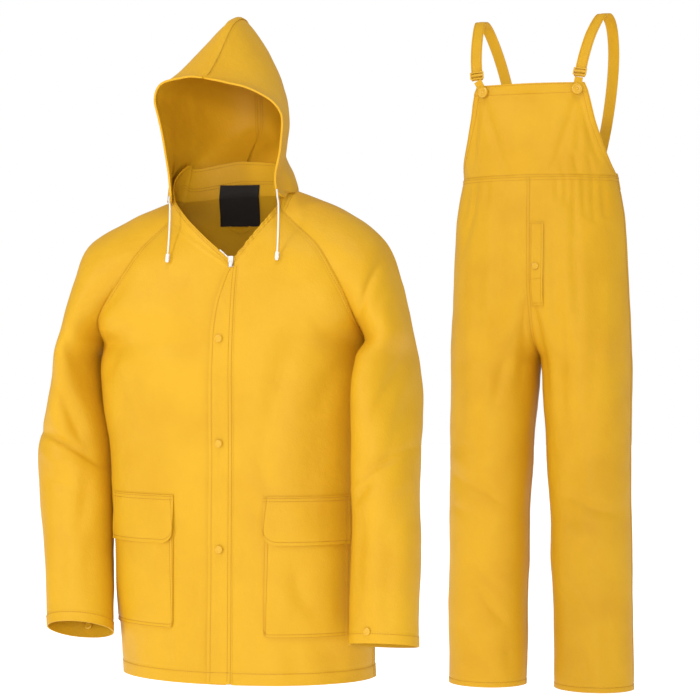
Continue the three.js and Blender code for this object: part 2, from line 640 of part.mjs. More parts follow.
/** Storm flap, snaps, pockets, label, loop, zip ends, slider, pull and cords. */
function addFrontDetails(group, skin, normals, collar) {
  const lastRow = skin.left.front.length - 1;
  const across = skin.right.front.map((row, j) => [
    ...row.slice(0, 4).reverse(), ...skin.left.front[j].slice(0, 4),
  ]);
  const middleRow = across[SHOULDER_ROWS + 4];
  const flap = {
    from: indexAt(middleRow, 'x', FRONT_X - FLAP_FREE),
    to: indexAt(middleRow, 'x', FRONT_X + FLAP_SEWN),
    top: () => 0.12,
    bottom: () => lastRow - 0.12,
  };
  group.add(piece('storm_flap', overlay(across, normals, flap), cloth()));
  const flapNormal = (row, x) => sample(across, normals, row, indexAt(across[Math.round(row)], 'x', x));
  const columnOf = (c) => across.map((row) => row[c]);
  const snapLevels = { snap_top: -225, snap_middle: -402, snap_bottom: -580 };
  for (const [name, z] of Object.entries(snapLevels)) {
    const row = indexAt(columnOf(3), 'z', z);
    const { point, normal } = flapNormal(row, FRONT_X - SNAP_OFFSET);
    const cap = piece(name, dome(SNAP_RADIUS, SNAP_HEIGHT), material(YELLOW, 0.35));
    group.add(seated(cap, point, normal, LIFT + OVERLAY + 0.5));
  }
  addPockets(group, skin, normals);
  addNeckDetails(group, skin, normals, collar);
  addZipEnds(group, skin);
  addCords(group);
}

function addPockets(group, skin, normals) {
  const places = {
    right: { inner: 98, outer: 226, top: -492, flapBottom: -572, bottom: -718 },
    left: { inner: 64, outer: 192, top: -492, flapBottom: -572, bottom: -728 },
  };
  for (const [name, place] of Object.entries(places)) {
    const front = skin[name].front;
    const rowAt = (z) => indexAt(front.map((row) => row[4]), 'z', z);
    const ringRow = front[Math.round(rowAt(place.flapBottom))];
    const side = SHOULDERS[name].side;
    const from = indexAt(ringRow, 'x', side * place.inner);
    const to = indexAt(ringRow, 'x', side * place.outer);
    const orient = name === 'right'
      ? { grid: mirrored(front), from: FRONT_COLS - to, to: FRONT_COLS - from }
      : { grid: front, from, to };
    const body = { ...orient, top: () => rowAt(place.flapBottom + 8), bottom: () => rowAt(place.bottom) };
    const flap = { ...orient, top: () => rowAt(place.top), bottom: () => rowAt(place.flapBottom + 8.6) };
    group.add(piece(`pocket_${name}`, overlay(orient.grid, normals, body), cloth()));
    group.add(piece(`pocket_flap_${name}`, overlay(orient.grid, normals, flap), cloth()));
  }
}

function addCuffSnaps(group, grids, normals) {
  // The right cuff shows its snap inside, on the far half; the left one outside
  const places = {
    right: { half: 'back', share: 0.56, inside: true },
    left: { half: 'front', share: 0, inside: false },
  };
  for (const [name, { half, share, inside }] of Object.entries(places)) {
    const grid = grids[`sleeve_${half}_${name}`];
    const row = grid.length - 1 - 0.35;
    const col = inside ? Math.floor((grid[0].length - 1) * share) + 0.5 : 2;
    const { point, normal } = sample(grid, normals, row, col);
    const cap = piece(`cuff_snap_${name}`, dome(SNAP_RADIUS, SNAP_HEIGHT), material(YELLOW, 0.35));
    if (inside) {
      point.addScaledVector(normal, -CLOTH);
      normal.negate();
    }
    group.add(seated(cap, point, normal, 0.7));
  }
}

/** Label and hanger loop on the inner face of the collar and the back, at the nape. */
function addNeckDetails(group, skin, normals, collar) {
  const back = skin.left.back.map((row, j) => [...row].reverse().concat(skin.right.back[j].slice(1)));
  const nape = (collar[0].length - 1) / 2;
  const behind = (row) => row.slice(nape - FRONT_COLS, nape + FRONT_COLS + 1).reverse();
  const above = collar.slice(0, -1).map(behind);
  const grid = [...above, ...back];
  const inside = (from, to, top, bottom) => {
    const found = new Map();
    const sheet = lines(top, bottom).map((r) => lines(from, to).map((c) => {
      const { point, normal } = sample(grid, normals, r, c);
      const inner = point.clone().addScaledVector(normal, -CLOTH - 2 * LIFT);
      found.set(inner, normal);
      return inner;
    }));
    return wall(sheet, (p) => found.get(p), { thickness: 1, pull: 0 });
  };
  const seam = above.length;
  const middle = FRONT_COLS + LABEL_SHIFT;
  const label = inside(middle - LABEL_SPAN, middle + LABEL_SPAN, seam - 1.2, seam + 1.9);
  group.add(piece('neck_label', label, material(BLACK, 0.7)));
  const loop = inside(middle - 0.9, middle + 0.9, seam + 1.93, seam + 2.2);
  group.add(piece('hanger_loop', loop, cloth()));
}

/** Closed zip above the front, its slider and its hinged pull tab. */
function addZipEnds(group, skin) {
  const top = skin.right.front[0][0].clone().lerp(skin.left.front[0][0], 0.5);
  const plate = new THREE.Shape();
  plate.moveTo(-5, -8);
  plate.lineTo(5, -8);
  plate.lineTo(6, 5);
  plate.lineTo(0, 8);
  plate.lineTo(-6, 5);
  plate.closePath();
  const body = new THREE.ExtrudeGeometry(plate, { depth: 3, bevelEnabled: false });
  body.rotateX(Math.PI / 2);
  const slider = piece('zip_slider', body, material(WHITE, 0.35));
  slider.position.set(top.x, top.y - 0.4, top.z + 9.5);
  group.add(slider);
  const tab = new THREE.Shape();
  tab.moveTo(-3, 0);
  tab.lineTo(3, 0);
  tab.lineTo(3.4, -13);
  tab.lineTo(-3.4, -13);
  tab.closePath();
  const tabBody = new THREE.ExtrudeGeometry(tab, { depth: 1.6, bevelEnabled: false });
  tabBody.rotateX(Math.PI / 2);
  const pull = piece('zip_pull', tabBody, material(WHITE, 0.35));
  pull.position.set(top.x, top.y - 3.9, top.z + 11);
  group.add(pull);
}

function addCords(group) {
  const exits = {
    right: [[-122, -79.5, 20.3], [-118, -93, 10], [-112, -107, 1], [-109, -117, -20],
      [-108, -124, -50], [-108, -131, -82]],
    left: [[74.6, -96.8, 27.1], [78, -106, 15], [82, -115, 3], [84, -122, -22],
      [85, -128, -50], [85, -132.5, -80]],
  };
  for (const [name, list] of Object.entries(exits)) {
    const route = new THREE.CatmullRomCurve3(list.map((p) => new THREE.Vector3(...p)));
    const section = new THREE.Shape();
    section.absarc(0, 0, CORD_RADIUS, 0, 2 * Math.PI);
    const points = section.getPoints(8).slice(0, 8);
    const options = { steps: 16, extrudePath: route, bevelEnabled: false };
    const tube = new THREE.ExtrudeGeometry(new THREE.Shape(points), options);
    group.add(piece(`drawcord_${name}`, tube, material(WHITE, 0.8)));
    const end = new THREE.Vector3(...list.at(-1));
    const tip = piece(`cord_tip_${name}`, dome(TIP_RADIUS, 15, 10), material(WHITE, 0.4));
    tip.quaternion.setFromUnitVectors(new THREE.Vector3(0, 1, 0), new THREE.Vector3(0, -0.3, -1).normalize());
    tip.position.copy(end).add(new THREE.Vector3(0, -0.12, -0.4));
    group.add(tip);
  }
}

/** Trunk and leg skin of the overalls, one side at a time. */
function legSkin(side, frontSeam, backSeam, crotch) {
  const trunk = track('t', TRUNK);
  const legs = track('z', LEG_RINGS);
  const forward = new THREE.Vector3(0, -1, 0);
  const rows = [];
  for (let j = 0; j <= TRUNK_ROWS; j += 1) {
    const s = trunk(j / TRUNK_ROWS);
    const mid = new THREE.Vector3(0, s.y, s.z);
    const ridge = new THREE.Vector3(side * s.side, s.y - 2, s.z);
    const atSeams = { first: frontSeam[j], last: backSeam[j] };
    const shared = j === TRUNK_ROWS ? { first: crotch, last: crotch } : atSeams;
    const row = arc(mid, forward, ridge, s.depth, Math.min(180, s.open), LEG_COLS, shared);
    rows.push(row);
  }
  for (const z of LEG_LEVELS) {
    const s = legs(z);
    const inner = new THREE.Vector3(side * s.inner, s.y, z);
    const outer = new THREE.Vector3(side * s.outer, s.y - 2, z);
    rows.push(arc(inner, forward, outer, s.depth, 180, LEG_COLS, { first: inner, last: inner }));
  }
  return rows;
}

function buildOveralls() {
  const group = new THREE.Group();
  const trunk = track('t', TRUNK);
  const seamAt = (sign) => {
    const list = [];
    for (let j = 0; j < TRUNK_ROWS; j += 1) {
      const s = trunk(j / TRUNK_ROWS);
      list.push(new THREE.Vector3(0, s.y + sign * s.depth * Math.sin(Math.min(180, s.open) * RAD), s.z));
    }
    return list;
  };
  const frontSeam = seamAt(-1);
  const backSeam = seamAt(1);
  const end = trunk(1);
  const crotch = new THREE.Vector3(0, end.y, end.z);
  const left = legSkin(1, frontSeam, backSeam, crotch);
  const right = legSkin(-1, frontSeam, backSeam, crotch);
  raiseBackWaist([left, right]);
  const part = (rows, from, to) => rows.map((row) => row.slice(from, to + 1));
  const bib = bibGrid(left[0], right[0]);
  const grids = {
    leg_front_left: part(left, 0, LEG_COLS),
    leg_back_left: part(left, LEG_COLS, 2 * LEG_COLS),
    leg_front_right: mirrored(part(right, 0, LEG_COLS)),
    leg_back_right: mirrored(part(right, LEG_COLS, 2 * LEG_COLS)),
    bib,
  };
  const normals = pressFolds(Object.values(grids), OVERALLS_FOLDS);
  for (const [name, grid] of Object.entries(grids)) {
    group.add(piece(name, wall(grid, (p) => normals.get(p)), cloth()));
  }
  addFly(group, grids, normals);
  addStraps(group, bib, normals);
  return group;
}

/** The back stands higher than the waist seam, rising from the side seams to the centre. */
function raiseBackWaist(sides) {
  const seen = new Set();
  for (const rows of sides) {
    rows.slice(0, 2).forEach((row, r) => {
      for (let i = LEG_COLS + 1; i <= 2 * LEG_COLS; i += 1) {
        const p = row[i];
        const share = (i - LEG_COLS) / LEG_COLS;
        if (!seen.has(p)) p.z += (r === 0 ? 46 : 14) * Math.sin(share * Math.PI / 2);
        seen.add(p);
      }
    });
  }
}

function bibGrid(leftRow, rightRow) {
  const rows = track('z', BIB_ROWS);
  const waist = [...rightRow.slice(0, LEG_COLS + 1)].reverse().concat(leftRow.slice(1, LEG_COLS + 1));
  const grid = [waist];
  for (const z of BIB_LEVELS) {
    const s = rows(z);
    const centre = new THREE.Vector3(0, s.centreY, z);
    const edge = (side) => new THREE.Vector3(side * s.half, s.edgeY, z);
    const halves = [-1, 1].map((side) => quarter(centre, edge(side), s.sweep, LEG_COLS));
    grid.push([...halves[0]].reverse().concat(halves[1].slice(1)));
  }
  return grid.reverse();
}

function addFly(group, grids, normals) {
  const front = grids.leg_front_left;
  const rowAt = (z) => indexAt(front.map((row) => row[1]), 'z', z);
  const placket = { from: 0.1, to: 0.95, top: () => rowAt(34), bottom: () => rowAt(-138) };
  group.add(piece('fly_placket', overlay(front, normals, placket, 0.8), cloth()));
  const { point, normal } = sample(front, normals, rowAt(-62), 0.42);
  const cap = piece('fly_snap', dome(7.5, SNAP_HEIGHT), material(YELLOW, 0.35));
  group.add(seated(cap, point, normal, LIFT + OVERLAY + 0.9));
}

/** Shoulder straps, their tabs, slider buckles and the bib buttons. */
function addStraps(group, bib, normals) {
  const routes = {
    right: [[-119, -99, 350], [-124, -90, 395], [-128, -62, 452], [-131, -18, 492], [-128, 24, 484],
      [-112, 60, 430], [-94, 86, 350], [-82, 102, 270], [-76, 111.5, 178]],
    left: [[109, -99, 350], [118, -88, 400], [130, -58, 456], [146, -16, 498], [154, 22, 486],
      [156, 52, 440], [150, 76, 370], [134, 93, 270], [112, 98.9, 170]],
  };
  for (const [name, list] of Object.entries(routes)) {
    const curve = new THREE.CatmullRomCurve3(list.map((p) => new THREE.Vector3(...p)));
    const points = curve.getSpacedPoints(26);
    const sides = points.map((p, i) => {
      const tangent = curve.getTangentAt(i / 26);
      const outward = new THREE.Vector3(0, p.y, 60).normalize();
      if (p.y > 0) outward.set(0, 1, 0.4).normalize();
      return tangent.clone().cross(outward).normalize().multiplyScalar(-1);
    });
    group.add(piece(`strap_${name}`, band(points, sides, STRAP_WIDTH, CLOTH), cloth()));
    const side = SHOULDERS[name].side;
    const column = indexAt(bib[1], 'x', side * BUTTON_X);
    const seat = sample(bib, normals, 0.75, column);
    const button = piece(`bib_button_${name}`, dome(BUTTON_RADIUS, 5), material(YELLOW, 0.35));
    group.add(seated(button, seat.point, seat.normal, 3.2));
    addBuckle(group, name, seat, points, sides[0]);
  }
}

/** The slider buckle at the strap's lower end, and the tab that joins it to the button. */
function addBuckle(group, name, seat, points, strapSide) {
  const [end, next] = points;
  const lift = seat.point.clone().addScaledVector(seat.normal, 2.2);
  const across = new THREE.Vector3().subVectors(end, lift).cross(seat.normal).normalize().negate();
  const upper = end.clone().addScaledVector(new THREE.Vector3().subVectors(end, next).normalize(), 1.25);
  const tabPoints = [-0.25, 0.35, 0.7, 1].map((share) => lift.clone().lerp(upper, share));
  const tab = band(tabPoints, tabPoints.map(() => across), TAB_WIDTH, 1.4);
  group.add(piece(`strap_tab_${name}`, tab, cloth()));
  const frame = new THREE.Shape();
  frame.moveTo(-BUCKLE_HALF, -8);
  frame.lineTo(BUCKLE_HALF, -8);
  frame.lineTo(BUCKLE_HALF, 8);
  frame.lineTo(-BUCKLE_HALF, 8);
  frame.closePath();
  const slot = new THREE.Path();
  slot.moveTo(-12, -3);
  slot.lineTo(-12, 3);
  slot.lineTo(12, 3);
  slot.lineTo(12, -3);
  slot.closePath();
  frame.holes.push(slot);
  const plate = new THREE.ExtrudeGeometry(frame, { depth: 2.4, bevelEnabled: false });
  const buckle = piece(`buckle_${name}`, plate, material(YELLOW, 0.35));
  const up = new THREE.Vector3().subVectors(next, end).normalize();
  const outward = new THREE.Vector3().crossVectors(up, strapSide).normalize();
  if (outward.y > 0) outward.negate();
  const sideways = new THREE.Vector3().crossVectors(up, outward);
  buckle.quaternion.setFromRotationMatrix(new THREE.Matrix4().makeBasis(sideways, up, outward));
  buckle.position.copy(end).addScaledVector(up, 10.5).addScaledVector(outward, 0.9);
  group.add(buckle);
}

const suit = new THREE.Group();
for (const [place, garment] of [[JACKET, buildJacket()], [OVERALLS, buildOveralls()]]) {
  garment.position.set(place.x, place.y, 0);
  garment.rotation.z = place.turn * RAD;
  suit.add(garment);
}

export default suit;
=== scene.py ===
"""Rain suit: a hooded jacket and bib overalls in yellow coated cloth."""
import itertools
import json
import math

import bpy
import numpy as np
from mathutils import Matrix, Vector, noise

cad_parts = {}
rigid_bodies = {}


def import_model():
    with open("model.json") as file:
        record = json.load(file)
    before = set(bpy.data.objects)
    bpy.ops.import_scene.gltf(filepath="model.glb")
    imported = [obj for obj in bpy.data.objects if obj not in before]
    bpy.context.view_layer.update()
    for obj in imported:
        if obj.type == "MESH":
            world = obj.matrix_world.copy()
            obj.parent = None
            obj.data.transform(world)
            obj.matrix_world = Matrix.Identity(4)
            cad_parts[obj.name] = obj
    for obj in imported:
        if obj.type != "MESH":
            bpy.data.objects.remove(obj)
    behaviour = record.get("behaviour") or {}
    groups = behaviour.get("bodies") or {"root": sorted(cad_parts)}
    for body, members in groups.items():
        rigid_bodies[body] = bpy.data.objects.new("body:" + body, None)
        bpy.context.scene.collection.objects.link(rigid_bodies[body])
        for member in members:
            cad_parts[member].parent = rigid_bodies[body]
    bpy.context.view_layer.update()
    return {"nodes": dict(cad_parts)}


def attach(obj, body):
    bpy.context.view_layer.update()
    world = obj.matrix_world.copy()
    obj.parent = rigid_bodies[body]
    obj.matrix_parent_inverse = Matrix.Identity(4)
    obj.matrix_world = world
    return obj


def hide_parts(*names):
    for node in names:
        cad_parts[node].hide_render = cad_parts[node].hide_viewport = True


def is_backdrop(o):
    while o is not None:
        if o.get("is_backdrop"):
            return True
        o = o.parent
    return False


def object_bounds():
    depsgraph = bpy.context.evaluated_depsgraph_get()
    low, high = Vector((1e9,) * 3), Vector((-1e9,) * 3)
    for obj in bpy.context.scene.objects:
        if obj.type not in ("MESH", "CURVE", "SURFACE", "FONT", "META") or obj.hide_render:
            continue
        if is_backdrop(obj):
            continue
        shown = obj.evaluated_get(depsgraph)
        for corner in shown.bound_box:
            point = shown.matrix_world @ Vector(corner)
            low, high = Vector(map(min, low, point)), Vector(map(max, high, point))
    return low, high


for start_object in list(bpy.data.objects):
    bpy.data.objects.remove(start_object, do_unlink=True)

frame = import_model()

MM = 0.001
GARMENTS = "garments"

# Where the two garments stand: place in millimetres and turn about the upright, in degrees
JACKET = {"x": 0.0, "y": 0.0, "turn": 13.0}
OVERALLS = {"x": 600.0, "y": 1000.0, "turn": 18.0}


def turned(vectors, place):
    """Directions of a garment in the scene."""
    v = np.asarray(vectors, float)
    t = math.radians(place["turn"])
    return np.stack([v[..., 0] * math.cos(t) + v[..., 1] * math.sin(t),
                     -v[..., 0] * math.sin(t) + v[..., 1] * math.cos(t), v[..., 2]], axis=-1)


def to_world(points, place):
    """Garment millimetres to scene metres."""
    return (turned(points, place) + [place["x"], place["y"], 0.0]) * MM


# Camera
LENS_MM = 105.8
SENSOR_MM = 36.0
CAMERA_PLACE = (0.175, -3.6, -0.245)
CLIP_END = 60.0
camera_data = bpy.data.cameras.new("camera")
camera_data.lens = LENS_MM
camera_data.sensor_width = SENSOR_MM
camera_data.clip_end = CLIP_END
camera = bpy.data.objects.new("camera", camera_data)
camera.location = CAMERA_PLACE
camera.rotation_euler = (math.radians(90), 0, 0)
bpy.context.collection.objects.link(camera)
bpy.context.scene.camera = camera


# Materials
def principled(name, color, roughness, specular=0.5):
    """A plain material."""
    mat = bpy.data.materials.new(name)
    mat.use_nodes = True
    shader = mat.node_tree.nodes["Principled BSDF"]
    shader.inputs["Base Color"].default_value = (*color, 1)
    shader.inputs["Roughness"].default_value = roughness
    shader.inputs["Specular IOR Level"].default_value = specular
    return mat


def noise_height(mat, coord, scale, detail):
    """Noise over an object's own coordinates."""
    texture = mat.node_tree.nodes.new("ShaderNodeTexNoise")
    texture.inputs["Scale"].default_value = scale
    texture.inputs["Detail"].default_value = detail
    mat.node_tree.links.new(coord.outputs["Object"], texture.inputs["Vector"])
    return texture.outputs["Fac"]


def add_bump(mat, height, strength, distance, target):
    """A bump from a height, which ends in the normal input given as its target."""
    bump = mat.node_tree.nodes.new("ShaderNodeBump")
    bump.inputs["Strength"].default_value = strength
    bump.inputs["Distance"].default_value = distance
    mat.node_tree.links.new(height, bump.inputs["Height"])
    mat.node_tree.links.new(bump.outputs["Normal"], target)
    return bump


def add_grain(mat, scale, strength, distance):
    """A fine uneven surface."""
    coord = mat.node_tree.nodes.new("ShaderNodeTexCoord")
    target = mat.node_tree.nodes["Principled BSDF"].inputs["Normal"]
    bump = add_bump(mat, noise_height(mat, coord, scale, GRAIN_DETAIL), strength, distance, target)
    return coord, bump


GRAIN_DETAIL = 2.0
CLOTH_COLOR = (0.625, 0.338, 0.011)
CLOTH_DEEP = (0.58, 0.300, 0.009)
PLASTIC_COLOR = (0.64, 0.35, 0.014)
THREAD_COLOR = (0.42, 0.185, 0.008)
WHITE_COLOR = (0.72, 0.71, 0.68)


def rain_cloth():
    """Coated cloth: satin, with a fine grain and a slightly uneven colour."""
    mat = principled("rain_cloth", CLOTH_COLOR, 0.5, 0.2)
    nodes, links = mat.node_tree.nodes, mat.node_tree.links
    coord, grain = add_grain(mat, 560.0, 0.5, 0.0006)
    add_bump(mat, noise_height(mat, coord, 62.0, 3.0), 0.3, 0.003, grain.inputs["Normal"])
    spread = nodes.new("ShaderNodeMapRange")
    spread.inputs["From Min"].default_value = 0.4
    spread.inputs["From Max"].default_value = 0.75
    mix = nodes.new("ShaderNodeMix")
    mix.data_type = "RGBA"
    factor, color_a, color_b, result = mix.inputs[0], mix.inputs[6], mix.inputs[7], mix.outputs[2]
    color_a.default_value = (*CLOTH_COLOR, 1)
    color_b.default_value = (*CLOTH_DEEP, 1)
    links.new(noise_height(mat, coord, 9.0, 4.0), spread.inputs["Value"])
    links.new(spread.outputs["Result"], factor)
    links.new(result, nodes["Principled BSDF"].inputs["Base Color"])
    return mat


CLOTH_MAT = rain_cloth()
PLASTIC_MAT = principled("yellow_plastic", PLASTIC_COLOR, 0.28, 0.5)
THREAD_MAT = principled("thread", THREAD_COLOR, 0.6, 0.3)
CORD_MAT = principled("white_cord", WHITE_COLOR, 0.8, 0.3)
add_grain(CORD_MAT, 700.0, 0.5, 0.0006)
WHITE_MAT = principled("white_plastic", (0.74, 0.73, 0.71), 0.35, 0.4)
LABEL_MAT = principled("label_cloth", (0.012, 0.011, 0.010), 0.7, 0.3)
add_grain(LABEL_MAT, 1500.0, 0.4, 0.0004)


# Meshes
def mesh_object(name, verts, faces, mat, sharp=55.0):
    """A smooth mesh with sharp edges from an angle on, in the scene."""
    mesh = bpy.data.meshes.new(name)
    points = [tuple(v) for v in np.asarray(verts, float)]
    mesh.from_pydata(points, [], [tuple(int(i) for i in f) for f in faces])
    mesh.update()
    mesh.polygons.foreach_set("use_smooth", [True] * len(mesh.polygons))
    mesh.set_sharp_from_angle(angle=math.radians(sharp))
    mesh.materials.append(mat)
    obj = bpy.data.objects.new(name, mesh)
    bpy.context.collection.objects.link(obj)
    return obj


def unit(v):
    """Vectors of length 1 in the same directions."""
    v = np.asarray(v, float)
    return v / np.maximum(np.linalg.norm(v, axis=-1, keepdims=True), 1e-12)


def finish_piece(obj, nodes=(), body=GARMENTS):
    """Hands over a piece: hides the nodes that it stands for and sets it in its body."""
    if nodes:
        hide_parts(*nodes)
    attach(obj, body)


def spline(points, per):
    """A smooth line through points, its corners rounded by their spacing."""
    p = [np.array(q, float) for q in points]
    p = [2 * p[0] - p[1]] + p + [2 * p[-1] - p[-2]]
    out = []
    for i in range(1, len(p) - 2):
        a, b, c, d = p[i - 1:i + 3]
        t0, t1, t2 = (np.linalg.norm(v) ** 0.5 for v in (b - a, c - b, d - c))
        m1 = ((b - a) / t0 - (c - a) / (t0 + t1) + (c - b) / t1) * t1
        m2 = ((c - b) / t1 - (d - b) / (t1 + t2) + (d - c) / t2) * t1
        for u in np.linspace(0, 1, per, endpoint=False):
            out.append((2 * u ** 3 - 3 * u ** 2 + 1) * b + (u ** 3 - 2 * u ** 2 + u) * m1
                       + (3 * u ** 2 - 2 * u ** 3) * c + (u ** 3 - u ** 2) * m2)
    out.append(p[-2])
    return np.array(out)


def lathe(name, profile, base, axis, mat, count=36):
    """A turned shape: profile of (radius, height) in mm from its base up."""
    axis = unit(axis)
    u = unit(np.cross(axis, [0.3, 0.1, 1.0]))
    v = np.cross(axis, u)
    verts, faces = [], []
    for radius, height in profile:
        for k in range(count):
            a = 2 * math.pi * k / count
            verts.append(base + (axis * height + (u * math.cos(a) + v * math.sin(a)) * radius) * MM)
    for r in range(len(profile) - 1):
        for k in range(count):
            j = (k + 1) % count
            faces.append((r * count + k, r * count + j, (r + 1) * count + j, (r + 1) * count + k))
    faces.append(tuple(range(count))[::-1])
    top = (len(profile) - 1) * count
    faces.append(tuple(range(top, top + count)))
    return mesh_object(name, verts, faces, mat, sharp=40)


# Drawcords with their moulded tips
CORD_ROUTES = {
    "right": [(-122, -79.5, 20.3), (-118, -93, 10), (-112, -107, 1), (-109, -117, -20), (-108, -124, -50),
              (-108, -131, -82)],
    "left": [(74.6, -96.8, 27.1), (78, -106, 15), (82, -115, 3), (84, -122, -22), (85, -128, -50),
             (85, -132.5, -80)],
}
CORD_RADIUS = 1.5
TIP_LEAN = (0, -0.3, -1.0)
TIP_PROFILE = [(2.4, 0.0), (3.2, 0.8), (3.4, 4.0), (3.0, 4.6), (3.4, 5.2), (3.5, 9.0), (3.1, 12.5),
               (2.2, 14.6), (0.3, 15.2)]
for name, route in CORD_ROUTES.items():
    line = to_world(spline(route, 14), JACKET)
    curve = bpy.data.curves.new(f"drawcord_{name}_line", "CURVE")
    curve.dimensions = "3D"
    curve.bevel_depth = CORD_RADIUS * MM
    curve.bevel_resolution = 4
    curve.use_fill_caps = True
    part = curve.splines.new("POLY")
    part.points.add(len(line) - 1)
    for point, place in zip(part.points, line):
        point.co = (*place, 1)
    curve.materials.append(CORD_MAT)
    cord = bpy.data.objects.new(f"drawcord_{name}_cord", curve)
    bpy.context.collection.objects.link(cord)
    finish_piece(cord, [f"drawcord_{name}"])
    direction = unit(turned(TIP_LEAN, JACKET))
    tip = lathe(f"cord_tip_{name}_cap", TIP_PROFILE, np.array(line[-1]), direction, WHITE_MAT, 20)
    finish_piece(tip, [f"cord_tip_{name}"])


# Shapes
def smoothstep(x, low, high):
    """A soft rise from 0 at low to 1 at high."""
    u = np.clip((np.asarray(x, float) - low) / (high - low), 0, 1)
    return u * u * (3 - 2 * u)


def track(key, names, rows):
    """Smooth tracks through a table: the result gives each named column at values of the key."""
    table = np.array(rows, float)
    at = names.index(key)
    sign = 1.0 if table[-1, at] > table[0, at] else -1.0
    keys = table[:, at] * sign
    slopes = np.empty_like(table)
    for i in range(len(table)):
        a, b = max(0, i - 1), min(len(table) - 1, i + 1)
        slopes[i] = (table[b] - table[a]) / (keys[b] - keys[a])

    def read(values):
        k = np.clip(np.atleast_1d(np.asarray(values, float)) * sign, keys[0], keys[-1])
        i = np.clip(np.searchsorted(keys, k, side="right") - 1, 0, len(keys) - 2)
        span = keys[i + 1] - keys[i]
        u = ((k - keys[i]) / span)[:, None]
        out = ((1 + 2 * u) * (1 - u) ** 2 * table[i] + u * u * (3 - 2 * u) * table[i + 1]
               + span[:, None] * (u * (1 - u) ** 2 * slopes[i] + u * u * (u - 1) * slopes[i + 1]))
        return {n: out[:, c] for c, n in enumerate(names)}

    return read


def xyz(*parts):
    """Points from three arrays of coordinates."""
    return np.stack(np.broadcast_arrays(*(np.asarray(part, float) for part in parts)), axis=-1)


def arcs(mid, across, ridge, depth, open_degrees, shares):
    """Arcs from the front seam (share 0) over the ridge (1) to the back seam (2), one a row."""
    opening = np.radians(np.minimum(180.0, open_degrees))[:, None]
    out = ridge - mid
    reach = np.linalg.norm(out, axis=-1, keepdims=True) / (1 - np.cos(opening))
    out = unit(out)
    centre = ridge - out * reach
    angle = opening * (1 - np.asarray(shares)[None, :])
    return (centre[:, None] + out[:, None] * (reach * np.cos(angle))[..., None]
            + across[:, None] * (np.asarray(depth)[:, None] * np.sin(angle))[..., None])


def quarters(centre, seam, sweep_degrees, shares):
    """Quarter turns from the centre front or back (share 0) to a seam (1), one a row."""
    sweep = np.radians(sweep_degrees)[:, None]
    angle = sweep * np.asarray(shares)[None, :]
    s = np.sin(angle) / np.sin(sweep)
    c = (1 - np.cos(angle)) / (1 - np.cos(sweep))
    d = (seam - centre)[:, None]
    return centre[:, None] + np.stack([d[..., 0] * s, d[..., 1] * c, d[..., 2] * s], axis=-1)


def bridged(upper, lower, count):
    """Rows of two grids one above the other, with smooth rows between them."""
    a, b = upper[-1], lower[0]
    gap = np.linalg.norm(b - a, axis=-1, keepdims=True)
    ta = unit(upper[-1] - upper[-3]) * gap
    tb = unit(lower[2] - lower[0]) * gap
    rows = []
    for u in np.linspace(0, 1, count + 2)[1:-1]:
        rows.append((1 + 2 * u) * (1 - u) ** 2 * a + u * u * (3 - 2 * u) * b
                    + u * (1 - u) ** 2 * ta + u * u * (u - 1) * tb)
    return np.concatenate([upper, np.array(rows), lower])


EDGE_SHARES = [0.012, 0.028, 0.045]
LEAST_STEP = 0.003


def edged(count):
    """Shares from 0 to 1, closer together near both ends."""
    both = list(np.linspace(0, 1, count)) + EDGE_SHARES + [1 - e for e in EDGE_SHARES]
    kept = sorted(set(round(v, 5) for v in both))
    return np.array([v for i, v in enumerate(kept) if i == 0 or v - kept[i - 1] > LEAST_STEP])


def run_of(line):
    """How far along a line each of its points is."""
    return np.concatenate([[0], np.cumsum(np.linalg.norm(np.diff(line, axis=0), axis=1))])


def along(values, run, at):
    """The vectors of a line at distances along it."""
    return np.stack([np.interp(at, run, values[:, k]) for k in range(3)], -1)


def quads_of(ids):
    """The faces of a grid of point numbers."""
    return np.stack([ids[:-1, :-1], ids[1:, :-1], ids[1:, 1:], ids[:-1, 1:]], -1).reshape(-1, 4)


SAME_POINT = 0.05


class Skin:
    """Grids that share their seam points, with common normals."""

    def __init__(self, grids):
        self.shapes = {n: g.shape[:2] for n, g in grids.items()}
        flat = np.concatenate([g.reshape(-1, 3) for g in grids.values()])
        keys = np.round(flat / SAME_POINT).astype(np.int64)
        _, first, index = np.unique(keys, axis=0, return_index=True, return_inverse=True)
        index = index.reshape(-1)
        self.points = flat[first].copy()
        self.index, quads, start = {}, [], 0
        for n, (r, c) in self.shapes.items():
            part = index[start:start + r * c].reshape(r, c)
            start += r * c
            self.index[n] = part
            quads.append(quads_of(part))
        self.quads = np.concatenate(quads)

    def normals(self):
        """The normals of all points, from the faces around them."""
        p, q = self.points, self.quads
        face = np.cross(p[q[:, 2]] - p[q[:, 0]], p[q[:, 3]] - p[q[:, 1]])
        out = np.zeros_like(p)
        for k in range(4):
            np.add.at(out, q[:, k], face)
        return unit(out)

    def press(self, push):
        """Moves the points along their normals."""
        self.points = self.points + self.normals() * push[:, None]

    def grid(self, name):
        """The points of one shape."""
        return self.points[self.index[name]]

    def grid_normals(self, name, normals):
        """The normals of one shape's points."""
        return normals[self.index[name]]


def normals_of(grid):
    """The normals of a single grid."""
    skin = Skin({"grid": grid})
    return skin.grid_normals("grid", skin.normals())


def fold(width, depth, *line, face=-1, sharp=0.0, step=0.0, ends=0.25, skew=0.0):
    """A fold along points (x, z) of a garment's front plane, in mm.

    A negative depth stands out. face is -1 for the front and 1 for the back. sharp 1 is a crease with
    steep sides and 0 a soft trough. step raises the cloth on one side of the line over the other, as
    where one fold hangs over the next. ends is the share of the depth at the ends of the line, and skew
    widens one side.
    """
    return {"line": np.array(line, float), "width": width, "depth": depth, "face": face, "sharp": sharp,
            "step": step, "ends": ends, "skew": skew}


